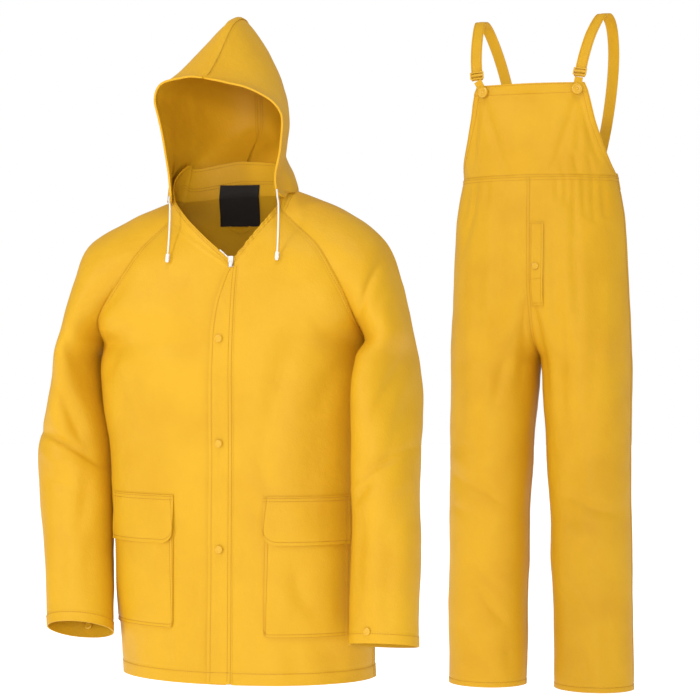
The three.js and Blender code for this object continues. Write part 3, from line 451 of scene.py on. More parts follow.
# How fast a crease and the two sides of a step fall off, as shares of the fold's width, and the
# millimetres over which a step rises
CREASE_SHARE = 0.55
STEP_SHARE = 1.6
STEP_RISE = 3.2
FADE_POWER = 0.8
FACING_POWER = 0.7


def fold_push(points, normals, folds):
    """How far folds push each point of a garment out along its normal."""
    push = np.zeros(len(points))
    x, z = points[:, 0], points[:, 2]
    for f in folds:
        line = f["line"]
        lengths = np.linalg.norm(np.diff(line, axis=0), axis=1)
        total = lengths.sum()
        best = np.full(len(points), 1e9)
        share = np.zeros(len(points))
        side = np.zeros(len(points))
        run = 0.0
        for (a, b), length in zip(zip(line[:-1], line[1:]), lengths):
            d = b - a
            u = np.clip(((x - a[0]) * d[0] + (z - a[1]) * d[1]) / (length * length), 0, 1)
            ox, oz = x - a[0] - u * d[0], z - a[1] - u * d[1]
            off = np.hypot(ox, oz)
            near = off < best
            best = np.where(near, off, best)
            share = np.where(near, (run + u * length) / total, share)
            side = np.where(near, np.sign(d[0] * oz - d[1] * ox), side)
            run += length
        width = f["width"] * (1 + f["skew"] * side)
        soft = np.exp(-(best / width) ** 2)
        steep = np.exp(-best / (CREASE_SHARE * width))
        shape = soft * (1 - f["sharp"]) + steep * f["sharp"]
        shape += f["step"] * np.tanh(best * side / STEP_RISE) * np.exp(-best / (STEP_SHARE * width))
        fade = f["ends"] + (1 - f["ends"]) * np.sin(np.pi * np.clip(share, 0, 1)) ** FADE_POWER
        facing = np.clip(normals[:, 1] * f["face"], 0, 1) ** FACING_POWER
        push -= f["depth"] * facing * shape * fade
    return push


def crumple(points, size, height, seed):
    """A soft unevenness of the whole cloth."""
    shift = Vector((seed, 2 * seed, -seed))
    return np.array([noise.noise(Vector(p) / size + shift) for p in points]) * height


# Walls
def border_distance(grid):
    """Distance of every point from each border, along its row or column, in mm."""
    across = np.linalg.norm(np.diff(grid, axis=1), axis=-1)
    down = np.linalg.norm(np.diff(grid, axis=0), axis=-1)
    left = np.concatenate([np.zeros((grid.shape[0], 1)), np.cumsum(across, axis=1)], axis=1)
    top = np.concatenate([np.zeros((1, grid.shape[1])), np.cumsum(down, axis=0)], axis=0)
    return {"left": left, "right": left[:, -1:] - left, "top": top, "bottom": top[-1:] - top}


GROOVE_DEPTH = 0.7
GROOVE_WIDTH = 2.0


def seam_relief(grid, rules):
    """Height of hems and seams over a panel: (border, width, rise) bands with a groove at the width."""
    d = border_distance(grid)
    out = np.zeros(grid.shape[:2])
    for border, width, rise in rules:
        at = d[border]
        out += rise * (1 - smoothstep(at, width - 1.5, width + 2.0))
        out -= GROOVE_DEPTH * np.exp(-((at - width) / GROOVE_WIDTH) ** 2)
    return out


def wall_faces(rows, cols):
    """The faces of both skins of a wall and of the rim between them."""
    n = rows * cols
    ids = np.arange(n).reshape(rows, cols)
    outer = quads_of(ids)
    inner = outer[:, ::-1] + n
    loop = np.concatenate([ids[0, :-1], ids[:-1, -1], ids[-1, :0:-1], ids[:0:-1, 0]])
    after = np.roll(loop, -1)
    rim = np.stack([loop, after, after + n, loop + n], -1)
    return np.concatenate([outer, inner, rim])


CLOTH_WALL = 1.8


def wall(name, grid, normals, place, mat=CLOTH_MAT, thickness=CLOTH_WALL, lift=0.0, relief=None, pull=0.08):
    """A closed wall on a grid, its outer face on the grid or lifted off it.

    pull draws the borders in a little, so that neighbours don't share them.
    """
    g = grid.copy()
    for lines in (g, g.swapaxes(0, 1)):
        for border, beside in ((0, 1), (-1, -2)):
            lines[border] += unit(lines[beside] - lines[border]) * pull
    rise = 0 if relief is None else relief[..., None]
    raised = lift if np.ndim(lift) == 0 else lift[..., None]
    is_overlay = np.ndim(lift) > 0 or lift > 0
    outer = g + normals * (raised + rise + (thickness if is_overlay else 0))
    inner = g + normals * raised if is_overlay else g - normals * thickness
    rows, cols = g.shape[:2]
    verts = to_world(np.concatenate([outer.reshape(-1, 3), inner.reshape(-1, 3)]), place)
    obj = mesh_object(name, verts, wall_faces(rows, cols), mat)
    return obj, outer


STITCH_LENGTH = 3.2
STITCH_PITCH = 4.4
STITCH_RADIUS = 0.5
STITCH_TAPER = 0.6


def sew(name, lines, place):
    """Stitches along lines of (points, normals) in garment millimetres, as one mesh."""
    verts, faces = [], []
    for points, normals in lines:
        points, normals = np.asarray(points, float), unit(normals)
        run = run_of(points)
        if run[-1] < STITCH_PITCH:
            continue
        count = int(run[-1] / STITCH_PITCH)
        starts = np.arange(count) * STITCH_PITCH + STITCH_PITCH / 2
        a = along(points, run, starts - STITCH_LENGTH / 2)
        b = along(points, run, starts + STITCH_LENGTH / 2)
        n = unit(along(normals, run, starts))
        t = unit(b - a)
        s = np.cross(t, n)
        for i in range(count):
            base = len(verts)
            m1, m2 = a[i] + t[i] * STITCH_TAPER, b[i] - t[i] * STITCH_TAPER
            across, up = s[i] * STITCH_RADIUS, n[i] * STITCH_RADIUS
            ring = [across, up * 0.9, -across, -up * 0.5]
            verts.extend([a[i]] + [m1 + r for r in ring] + [m2 + r for r in ring] + [b[i]])
            for k in range(4):
                j = (k + 1) % 4
                faces.append((base, base + 1 + j, base + 1 + k))
                faces.append((base + 1 + k, base + 1 + j, base + 5 + j, base + 5 + k))
                faces.append((base + 9, base + 5 + k, base + 5 + j))
    return mesh_object(name, to_world(verts, place), faces, THREAD_MAT)


LINE_LIFT = 0.15


def along_border(outer, normals, border, distance, start=0.0, end=1.0):
    """A line at a distance from one border of a panel, from one share of its length to another."""
    d = border_distance(outer)[border]
    if border in ("top", "bottom"):
        d, outer, normals = d.T, outer.transpose(1, 0, 2), normals.transpose(1, 0, 2)
    points, ns = [], []
    for i, (run, p, n) in enumerate(zip(d, outer, normals)):
        if not start <= i / (len(d) - 1) <= end:
            continue
        if run[0] > run[-1]:
            run, p, n = run[::-1], p[::-1], n[::-1]
        points.append(along(p, run, distance))
        ns.append(along(n, run, distance))
    ns = unit(np.array(ns))
    return np.array(points) + ns * LINE_LIFT, ns


# Jacket tables, in garment millimetres
HEM_Z = -808.0
FRONT_X = 5.0
ZIP_HALF = 4.5
ROW = ("t", "x", "y", "z", "lean", "depth", "open", "ridge_x", "ridge_y", "ridge_z")
RING = ("z", "x", "y", "half", "depth", "pitch", "twist")
SHOULDERS = {
    "right": {
        "side": -1,
        "rows": [
            (0.0, 126, -25, -1, 0.44, 54, 62, 140, -22, 12),
            (0.25, 168, -18, -50, 0.25, 84, 78, 207, -20, -14),
            (0.5, 205, -12, -115, 0.1, 97, 95, 280, -22, -56),
            (0.75, 241, -10, -178, 0, 100, 118, 306, -22, -125),
            (0.9, 257, -8, -208, 0, 100, 145, 320, -20, -176),
            (1.0, 264, -5, -232, 0, 98, 180, 330, -16, -208),
        ],
        "sleeve": [
            (-262, 312, 0, 39, 95, 4, 0),
            (-320, 317, 6, 48, 88, 6, 0),
            (-390, 321, 8, 62, 78, 8, 0),
            (-440, 323, 4, 68, 72, 12, 0),
            (-520, 314, -14, 67, 64, 19, 0),
            (-610, 301, -42, 62, 57, 22, 0),
            (-732, 284, -80, 59, 49, 25, 0),
        ],
    },
    "left": {
        "side": 1,
        "rows": [
            (0.0, 81, -25, 9, 0.44, 54, 62, 86, -22, 27),
            (0.25, 143, -18, -43, 0.25, 84, 78, 178, -22, -10),
            (0.5, 179, -14, -108, 0.1, 97, 95, 245, -25, -60),
            (0.75, 201, -14, -168, 0, 99, 118, 276, -30, -130),
            (0.9, 209, -14, -203, 0, 97, 145, 287, -36, -174),
            (1.0, 213, -12, -230, 0, 92, 180, 294, -42, -205),
        ],
        "sleeve": [
            (-262, 256, -43, 42, 91, 4, 14),
            (-320, 261, -73, 45, 84, 6, 24),
            (-390, 264, -95, 50, 74, 8, 26),
            (-470, 266, -108, 54, 66, 8, 20),
            (-560, 268, -114, 57, 60, 9, 10),
            (-650, 267, -121, 58, 54, 10, 4),
            (-736, 267, -128, 59, 48, 12, 0),
        ],
    },
}
CENTRE = ("t", "front_y", "front_z", "back_y", "back_z", "back_x", "sweep")
CENTRE_ROWS = [
    (0.0, -135, -103, 52, 30, -24, 60),
    (0.25, -141, -132, 88, -20, -20, 70),
    (0.5, -146, -162, 112, -82, -16, 78),
    (0.75, -149, -192, 126, -150, -12, 85),
    (1.0, -151, -222, 132, -222, -8, 90),
]
BODY = ("z", "right", "left", "front", "back")
BODY_RINGS = [
    (-232, 264, 213, 151, 132),
    (-276, 270, 214, 153, 133),
    (-332, 266, 214, 151, 131),
    (-418, 252, 215, 149, 128),
    (-522, 245, 218, 148, 126),
    (-670, 237, 222, 148, 126),
    (-808, 226, 225, 149, 127),
]
CROWN_RISE = 330.0
HOOD = ("v", "x", "y", "z")
HOOD_EDGE_RIGHT = [
    (0.0, -116, -76, 4), (0.2, -121, -100, 84), (0.4, -129, -116, 150), (0.5, -134, -122, 180),
    (0.6, -126, -128, 202), (0.7, -109, -133, 212), (0.86, -70, -143, 216), (1.0, -40, -150, 214),
]
HOOD_EDGE_LEFT = [
    (0.0, 86, -88, 4), (0.12, 72, -99, 40), (0.3, 83, -111, 92), (0.42, 89, -119, 132),
    (0.52, 88, -126, 154), (0.64, 74, -135, 173), (0.8, 30, -147, 197), (1.0, -40, -150, 214),
]
HOOD_SEAM = [
    (0.0, -24, 55, 31), (0.12, -9, 84, 90), (0.28, -10, 98, 170), (0.42, -13, 88, 250),
    (0.54, -17, 62, 308), (0.62, -22, 30, 338), (0.74, -28, -30, 320), (0.88, -34, -100, 257),
    (1.0, -40, -150, 214),
]

# Jacket folds
JACKET_FOLDS = [
    # The right elbow: one fold over the next, with the valleys above and below it
    fold(13, 7, (-392, -392), (-356, -398), (-318, -414), (-290, -430), (-262, -452), sharp=0.3, step=0.9,
         ends=0.35),
    fold(15, 9, (-330, -296), (-312, -348), (-290, -400), (-270, -430), skew=0.3, ends=0.15),
    fold(13, -4, (-350, -330), (-336, -372), (-316, -400)),
    fold(14, 7, (-282, -455), (-278, -500), (-286, -560), ends=0.2),
    fold(12, -4, (-372, -420), (-340, -440), (-300, -446)),
    fold(12, 3.5, (-368, -470), (-330, -476), (-292, -492)),
    fold(16, -3, (-350, -500), (-344, -600), (-336, -700)),
    fold(16, 3.5, (-320, -480), (-312, -600), (-300, -700)),
    fold(12, 3, (-268, -560), (-258, -660)),
    fold(16, -3, (-330, -210), (-318, -280), (-326, -340)),
    fold(14, 7, (-310, -200), (-290, -260), (-276, -330)),
    fold(14, 5, (-262, -215), (-225, -165), (-190, -130), sharp=0.3),
    fold(14, 4, (-255, -245), (-215, -228), (-170, -200), sharp=0.4),
    fold(12, 3.5, (-250, -300), (-222, -262), (-196, -236)),
    # The left sleeve: elbow folds inside the bend, long folds above it
    fold(13, 8, (330, -404), (292, -424), (262, -440), (232, -462), sharp=0.3, step=-0.7, ends=0.3),
    fold(13, -4, (318, -455), (280, -480), (240, -500)),
    fold(10, 8, (262, -452), (238, -478), (222, -500), sharp=0.4),
    fold(12, 6, (310, -190), (300, -240), (276, -300), (258, -350), skew=0.3),
    fold(12, 5.5, (326, -230), (318, -300), (296, -372), (282, -420)),
    fold(10, -3.5, (316, -210), (308, -270), (288, -336)),
    fold(14, 3, (318, -520), (262, -560)),
    fold(14, -3, (262, -520), (256, -600), (258, -690)),
    fold(15, 3.5, (290, -540), (286, -620), (282, -700)),
    fold(12, 4, (236, -500), (232, -580), (230, -660)),
    # Armholes
    fold(12, 8, (262, -60), (244, -110), (226, -160), (210, -200), sharp=0.5, step=0.4),
    fold(14, 5, (296, -96), (268, -140), (240, -190)),
    fold(13, 3.5, (205, -232), (170, -222), (140, -190)),
    fold(18, 4, (202, -256), (172, -292), (150, -350)),
    fold(20, 3.5, (-236, -262), (-205, -320), (-190, -420)),
    # The fronts: long soft falls, and the pull of the buttoned flap
    fold(22, 2.6, (-226, -430), (-150, -405), (-80, -400)),
    fold(24, 5, (118, -190), (96, -280), (74, -370), (64, -450)),
    fold(24, 3.5, (160, -330), (150, -420), (140, -480)),
    fold(13, 3.5, (30, -400), (58, -440), (76, -484)),
    fold(13, 3.8, (24, -470), (44, -520), (60, -590)),
    fold(13, 3, (20, -560), (40, -610), (62, -680)),
    fold(12, 2.6, (16, -350), (40, -372), (70, -384)),
    fold(26, 3, (-62, -150), (-88, -240), (-98, -340)),
    fold(15, 3.2, (-40, -470), (-64, -520), (-84, -590)),
    fold(16, 3.6, (-44, -560), (-66, -640), (-70, -790)),
    fold(18, 3, (-110, -725), (-122, -790)),
    fold(18, 3.6, (45, -640), (52, -800)),
    fold(16, 3, (112, -740), (118, -806)),
    fold(18, 4, (170, -735), (186, -806)),
    fold(16, 3.5, (-190, -735), (-200, -806)),
    fold(13, 2.8, (110, -600), (122, -660), (150, -700)),
    # The back
    fold(16, 6, (-240, -195), (-190, -160), (-140, -110), face=1, sharp=0.3),
    fold(16, 6, (190, -195), (150, -160), (110, -110), face=1, sharp=0.3),
    fold(24, 7, (-40, -330), (-48, -560), (-60, -800), face=1),
    fold(24, 7, (60, -380), (66, -600), (80, -800), face=1),
    fold(20, 4.5, (-200, -260), (-150, -330), (-120, -430), face=1),
    fold(20, 4.5, (170, -250), (130, -330), (120, -450), face=1),
    fold(18, 3, (-120, -60), (-60, -110), (0, -125), face=1),
    fold(14, 7, (-390, -400), (-340, -424), (-290, -440), face=1, step=0.5),
    fold(16, 5, (-370, -340), (-300, -390), face=1),
    fold(18, 5, (-360, -500), (-280, -540), face=1),
    fold(14, 7, (326, -400), (284, -430), (240, -452), face=1, step=-0.5),
    fold(14, -3, (310, -480), (240, -520), face=1),
    fold(18, 4, (320, -560), (250, -620), face=1),
    fold(24, 4.5, (-150, -560), (-160, -800), face=1),
    fold(24, 4.5, (150, -540), (165, -800), face=1),
]


# Rows and columns of the jacket's grids, and how closely the rows over a hem lie
SHOULDER_COUNT, SLEEVE_COUNT, COLLAR_COUNT, HOOD_COUNT = 64, 108, 22, 92
FRONT_COLS, SLEEVE_COLS = 54, 46
HEM_BAND = 30.0
HEM_STEP = 2.6


def hem_rows(top, bottom):
    """Heights over a hem."""
    return np.append(np.arange(top, bottom, -HEM_STEP), bottom)


def rows_down(top, bottom, step):
    """Heights from the top to the bottom, closer together over the hem."""
    return np.concatenate([np.arange(top, bottom + HEM_BAND, step), hem_rows(bottom + HEM_BAND - 2, bottom)])


def jacket_grids():
    """Every panel of the jacket as a fine grid, rows downward."""
    t = np.linspace(0, 1, SHOULDER_COUNT)
    z = rows_down(-262.0, HEM_Z, -4.4)
    across_share = edged(FRONT_COLS)
    sleeve_share = edged(SLEEVE_COLS)
    both = np.concatenate([sleeve_share, 1 + sleeve_share[1:]])
    centre = track("t", CENTRE, CENTRE_ROWS)(t)
    body = track("z", BODY, BODY_RINGS)(z)
    down = (z + 232) / (HEM_Z + 232)
    back_top = xyz(centre["back_x"], centre["back_y"], centre["back_z"])
    back_low = xyz(-8 + 8 * down, body["back"], z)
    grids = {}
    for name, data in SHOULDERS.items():
        side = data["side"]
        s = track("t", ROW, data["rows"])(t)
        mid = xyz(side * s["x"], s["y"], s["z"])
        ridge = xyz(side * s["ridge_x"], s["ridge_y"], s["ridge_z"])
        across = unit(xyz(0, -1, -np.maximum(0, s["lean"])))
        upper = arcs(mid, across, ridge, s["depth"], s["open"], both)
        upper[-1, 0] = mid[-1]
        upper[-1, -1] = mid[-1]
        front = xyz(FRONT_X + side * ZIP_HALF, centre["front_y"], centre["front_z"])
        front_top = quarters(front, upper[:, 0], centre["sweep"], across_share)
        back_upper = quarters(back_top, upper[:, -1], centre["sweep"], across_share)
        seam = xyz(side * body[name], -4, z)
        low = xyz(FRONT_X + side * ZIP_HALF, -body["front"], z)
        right_angle = np.full(len(z), 90.0)
        front_low = quarters(low, seam, right_angle, across_share)
        back_lower = quarters(back_low, seam, right_angle, across_share)
        grids[f"front_{name}"] = bridged(front_top, front_low, 3)
        grids[f"back_{name}"] = bridged(back_upper, back_lower, 3)
        first, end = data["sleeve"][0][0], data["sleeve"][-1][0]
        level = np.concatenate([np.linspace(first, end + HEM_BAND, SLEEVE_COUNT),
                                hem_rows(end + HEM_BAND - 2.5, end)])
        r = track("z", RING, data["sleeve"])(level)
        pitch, twist = np.radians(r["pitch"]), np.radians(r["twist"])
        out = xyz(side * np.cos(twist), -np.sin(twist), 0)
        cross = xyz(-side * np.sin(twist) * np.cos(pitch), -np.cos(twist) * np.cos(pitch), np.sin(pitch))
        centre_line = xyz(side * r["x"], r["y"], r["z"])
        reach = out * r["half"][:, None]
        half_turn = np.full(len(level), 180.0)
        rings = arcs(centre_line - reach, cross, centre_line + reach, r["depth"], half_turn, both)
        rings[:, -1] = rings[:, 0]
        whole = bridged(upper, rings, 5)
        whole[len(t):, -1] = whole[len(t):, 0]
        grids[f"sleeve_{name}"] = whole
    return grids, len(sleeve_share)


def flip(grid):
    """The grid with its columns in the other order, which turns its face round."""
    return grid[:, ::-1]


# Shares of half the neck's edge that belong to the front, the sleeve and the back, its middle, and
# where the hood starts
NECK_SPANS = ((0.0, 8.0), (8.0, 18.0), (18.0, 26.0))
NECK_TOTAL = 52.0
NECK_CENTRE = np.array([-24.0, -35.0, 0.0])
HOOD_START = 8.0
HOOD_SPAN = 18.0


def neck_half(grids, name):
    """Half of the neck edge, from the front to the centre back, and how far along each point is."""
    parts = (grids[f"front_{name}"][0], grids[f"sleeve_{name}"][0][1:], grids[f"back_{name}"][0][::-1][1:])
    shares = []
    for part, (start, end) in zip(parts, NECK_SPANS):
        offset = 0 if start == 0.0 else 1
        shares.extend(start + (end - start) * (np.arange(len(part)) + offset) / (len(part) - 1 + offset))
    return np.concatenate(parts), np.array(shares)


def neck_ring(grids):
    """The neck edge from the right front round to the left front, and shares of its columns."""
    right, right_shares = neck_half(grids, "right")
    left, left_shares = neck_half(grids, "left")
    points = np.concatenate([right, left[:-1][::-1]])
    shares = np.concatenate([right_shares, NECK_TOTAL - left_shares[:-1][::-1]]) / NECK_TOTAL
    return points, shares


def hood_grid(edge_rows, ring_half, share, fullness, ease, v):
    """One half of the hood: rows v from the neck up, columns from the face's edge to the back seam."""
    edge, seam = ({key: column[:, None] for key, column in track("v", HOOD, rows)(v).items()}
                  for rows in (edge_rows, HOOD_SEAM))
    angle = share[None, :] * np.pi / 2
    keep_round = (1 - smoothstep(v, 0.06, 0.27))[:, None]
    keep_level = (1 - smoothstep(v, 0, 0.14))[:, None]
    swell = fullness * np.sin(2 * angle) * (1 - v)[:, None]
    c, s = np.clip(np.cos(angle), 0, 1), np.sin(angle)
    upper = np.sin(np.pi * np.clip((v - 0.66) / 0.34, 0, 1))[:, None] ** 2
    crown = np.sin(2 * angle) * upper * max(0.0, fullness) * CROWN_RISE
    free = np.stack([
        seam["x"] + (edge["x"] - seam["x"]) * (c ** 0.8 + swell),
        edge["y"] + (seam["y"] - edge["y"]) * s,
        edge["z"] + (seam["z"] - edge["z"]) * (1 - c) ** 0.8,
    ], -1) + crown[..., None] * np.array([-0.7, 0.0, 0.7])
    radial = unit((ring_half - NECK_CENTRE) * [1, 1, 0])
    sewn = ring_half + radial * ease
    sewn[:, 2] = ring_half[:, 2] + 0.8 + 26 * (1 - smoothstep(share, 0, 0.3))
    level = free[..., 2] + (sewn[None, :, 2] - free[..., 2]) * keep_level
    near_edge = smoothstep(share, 0, 0.25)[None, :]
    start = (1 - smoothstep(v, 0, 0.08))[:, None]
    blend = keep_round * (near_edge * (1 - start) + start)
    out = free + (sewn[None] - free) * blend[..., None]
    out[..., 2] = level
    out[:, -1] = np.concatenate([seam["x"], seam["y"], seam["z"]], -1)
    return out


def build_jacket():
    """The jacket's skin and its normals, and the neck's edge with the shares of its columns."""
    grids, sleeve_cols = jacket_grids()
    ring, ring_share = neck_ring(grids)
    share = np.linspace(1, 0, COLLAR_COUNT)[:, None]
    back = np.abs(np.sin(np.pi * ring_share))[None, :] ** 1.6
    right_front, left_front = (np.sin(np.pi * np.clip(s / 0.3, 0, 1)) for s in (ring_share, 1 - ring_share))
    rise = 11 * right_front - 10 * left_front
    height = (12 + 47 * back + rise[None, :]) * share
    corner = np.exp(-((ring_share - 0.31) / 0.05) ** 2)[None, :]
    height = height + 13 * corner * share
    lean = 1 - (0.05 + 0.15 * back + 0.08 * corner) * share
    from_centre = ring[None] - NECK_CENTRE
    collar = np.stack([NECK_CENTRE[0] + from_centre[..., 0] * lean - 8 * back * share,
                       NECK_CENTRE[1] + from_centre[..., 1] * lean, ring[None, :, 2] + height], -1)
    panels = {
        "jacket_front_right": flip(grids["front_right"]),
        "jacket_front_left": grids["front_left"],
        "jacket_back": np.concatenate([flip(grids["back_left"]), grids["back_right"][:, 1:]], axis=1),
        "sleeve_front_right": flip(grids["sleeve_right"][:, :sleeve_cols]),
        "sleeve_back_right": flip(grids["sleeve_right"][:, sleeve_cols - 1:]),
        "sleeve_front_left": grids["sleeve_left"][:, :sleeve_cols],
        "sleeve_back_left": grids["sleeve_left"][:, sleeve_cols - 1:],
        "collar": flip(collar),
    }
    skin = Skin(panels)
    normals = skin.normals()
    push = fold_push(skin.points, normals, JACKET_FOLDS)
    push += crumple(skin.points, 95.0, 2.2, 3.0) + crumple(skin.points, 34.0, 0.7, 11.0)
    calm = smoothstep(np.abs(skin.points[:, 0] - FRONT_X), 20, 70)
    push *= np.where(skin.points[:, 1] < -100, 0.25 + 0.75 * calm, 1.0)
    skin.press(push)
    return skin, skin.normals(), ring, ring_share


jacket, jacket_normals, ring, ring_share = build_jacket()
outers = {}
FRONT_RULES = {side: [(side, 9, 0.7), ("bottom", 22, 0.6), ("top", 6, 0.4)] for side in ("left", "right")}
CUFF_RULES = [("bottom", 20, 0.6)]
JACKET_RULES = {
    "jacket_front_right": FRONT_RULES["left"],
    "jacket_front_left": FRONT_RULES["right"],
    "jacket_back": [("left", 9, 0.7), ("right", 9, 0.7), ("bottom", 22, 0.6)],
    "sleeve_front_right": CUFF_RULES, "sleeve_back_right": CUFF_RULES,
    "sleeve_front_left": CUFF_RULES, "sleeve_back_left": CUFF_RULES,
    "collar": [("top", 5, 0.6), ("bottom", 5, 0.3)],
}


def collar_wrinkles(grid):
    """The drawn-up edge of the collar's fronts, most on the left one."""
    run = run_of(grid[0])
    left = 1 - smoothstep(run, 70, 170)
    right = 0.4 * (1 - smoothstep(run[-1] - run, 70, 150))
    wave = 1.5 + 0.9 * np.sin(run / 2.3 + 1.3 * np.sin(run / 7.0)) + 0.5 * np.sin(run / 5.1)
    return (wave * (left + right))[None, :] * (1 - smoothstep(border_distance(grid)["top"], 5, 12))


def add_cloth(obj, node):
    """Sets a cloth piece in place of a node."""
    finish_piece(obj, [node])


def add_panels(skin, normals, place, rules):
    """The cloth of every panel of a skin."""
    for name in skin.shapes:
        grid, n = skin.grid(name), skin.grid_normals(name, normals)
        relief = seam_relief(grid, rules.get(name, []))
        if name == "collar":
            relief = relief + collar_wrinkles(grid)
        obj, outer = wall(name + "_cloth", grid, n, place, relief=relief)
        add_cloth(obj, name)
        outers[name] = (outer, n)


add_panels(jacket, jacket_normals, JACKET, JACKET_RULES)

# Hood
middle = (len(ring) - 1) // 2
front_cols = int(np.searchsorted(ring_share, HOOD_START / NECK_TOTAL - 1e-6))
right_half, right_share = ring[front_cols:middle + 1], ring_share[front_cols:middle + 1]
left_columns = slice(middle, len(ring) - front_cols)
left_half, left_share = ring[left_columns][::-1], ring_share[left_columns][::-1]
right_share = (right_share * NECK_TOTAL - HOOD_START) / HOOD_SPAN
left_share = (NECK_TOTAL - left_share * NECK_TOTAL - HOOD_START) / HOOD_SPAN
hood_v = np.linspace(0, 0.996, HOOD_COUNT)
hood_right = hood_grid(HOOD_EDGE_RIGHT, right_half, right_share, 0.03, 0.15, hood_v)
hood_left = hood_grid(HOOD_EDGE_LEFT, left_half, left_share, -0.09, 0.1, hood_v)
hood = Skin({"hood_right": hood_right[::-1], "hood_left": flip(hood_left[::-1])})
hood_normals = hood.normals()
HOOD_FOLDS = [
    fold(14, 2.0, (-120, 150), (-90, 190), (-60, 200)),
    fold(10, 1.6, (20, 190), (60, 160), (92, 110)),
    fold(18, 3.0, (-20, 300), (20, 250), (60, 215)),
    fold(10, 2.0, (0, 240), (40, 215), (80, 175)),
    fold(12, 2.5, (95, 30), (92, 80), (96, 130)),
    fold(14, 2.5, (-125, 20), (-118, 70)),
    fold(22, 4, (-100, 60), (-60, 140), (-50, 240), face=1),
    fold(22, 4, (70, 50), (40, 130), (30, 230), face=1),
    fold(18, 3, (-90, 100), (-20, 80), (60, 95), face=1),
]
hood_push = fold_push(hood.points, hood_normals, HOOD_FOLDS)
hood_push += crumple(hood.points, 80.0, 2.0, 7.0) + crumple(hood.points, 30.0, 0.7, 19.0)
near_neck = smoothstep(hood.points[:, 2], 60, 120)
hood.press(hood_push * near_neck)
hood_normals = hood.normals()
HOOD_RULES = {
    "hood_right": [("left", 11, 1.5), ("right", 7, 0.5)],
    "hood_left": [("right", 11, 1.5), ("left", 7, 0.5)],
}
add_panels(hood, hood_normals, JACKET, HOOD_RULES)


# Overalls tables
TRUNK = ("t", "z", "y", "depth", "open", "side")
TRUNK_ROWS = [
    (0.0, 135, 2, 116, 90, 174), (0.2, 55, 3, 122, 92, 188), (0.45, -40, 4, 126, 97, 196),
    (0.7, -130, 5, 128, 108, 200), (0.85, -195, 8, 128, 128, 203), (0.95, -240, 12, 126, 153, 204),
    (1.0, -268, 15, 124, 180, 204),
]
LEG = ("z", "inner", "outer", "y", "depth")
LEG_RINGS = [
    (-268, 0, 204, 15, 124), (-312, 5, 204, 12, 121), (-430, 15, 204, 6, 111),
    (-585, 23, 205, 0, 98), (-770, 29, 208, 2, 86), (-994, 33, 210, 6, 77),
]
BIB = ("z", "half", "centre_y", "edge_y", "sweep")
BIB_ROWS = [
    (135, 174, -114, 2, 90), (170, 165, -116, -40, 78), (205, 155, -118, -62, 68),
    (256, 141, -117, -80, 60), (318, 128, -113, -92, 52), (338, 120, -112, -94, 50),
]
LEG_HEM = -994.0
BIB_TOP = 338.0
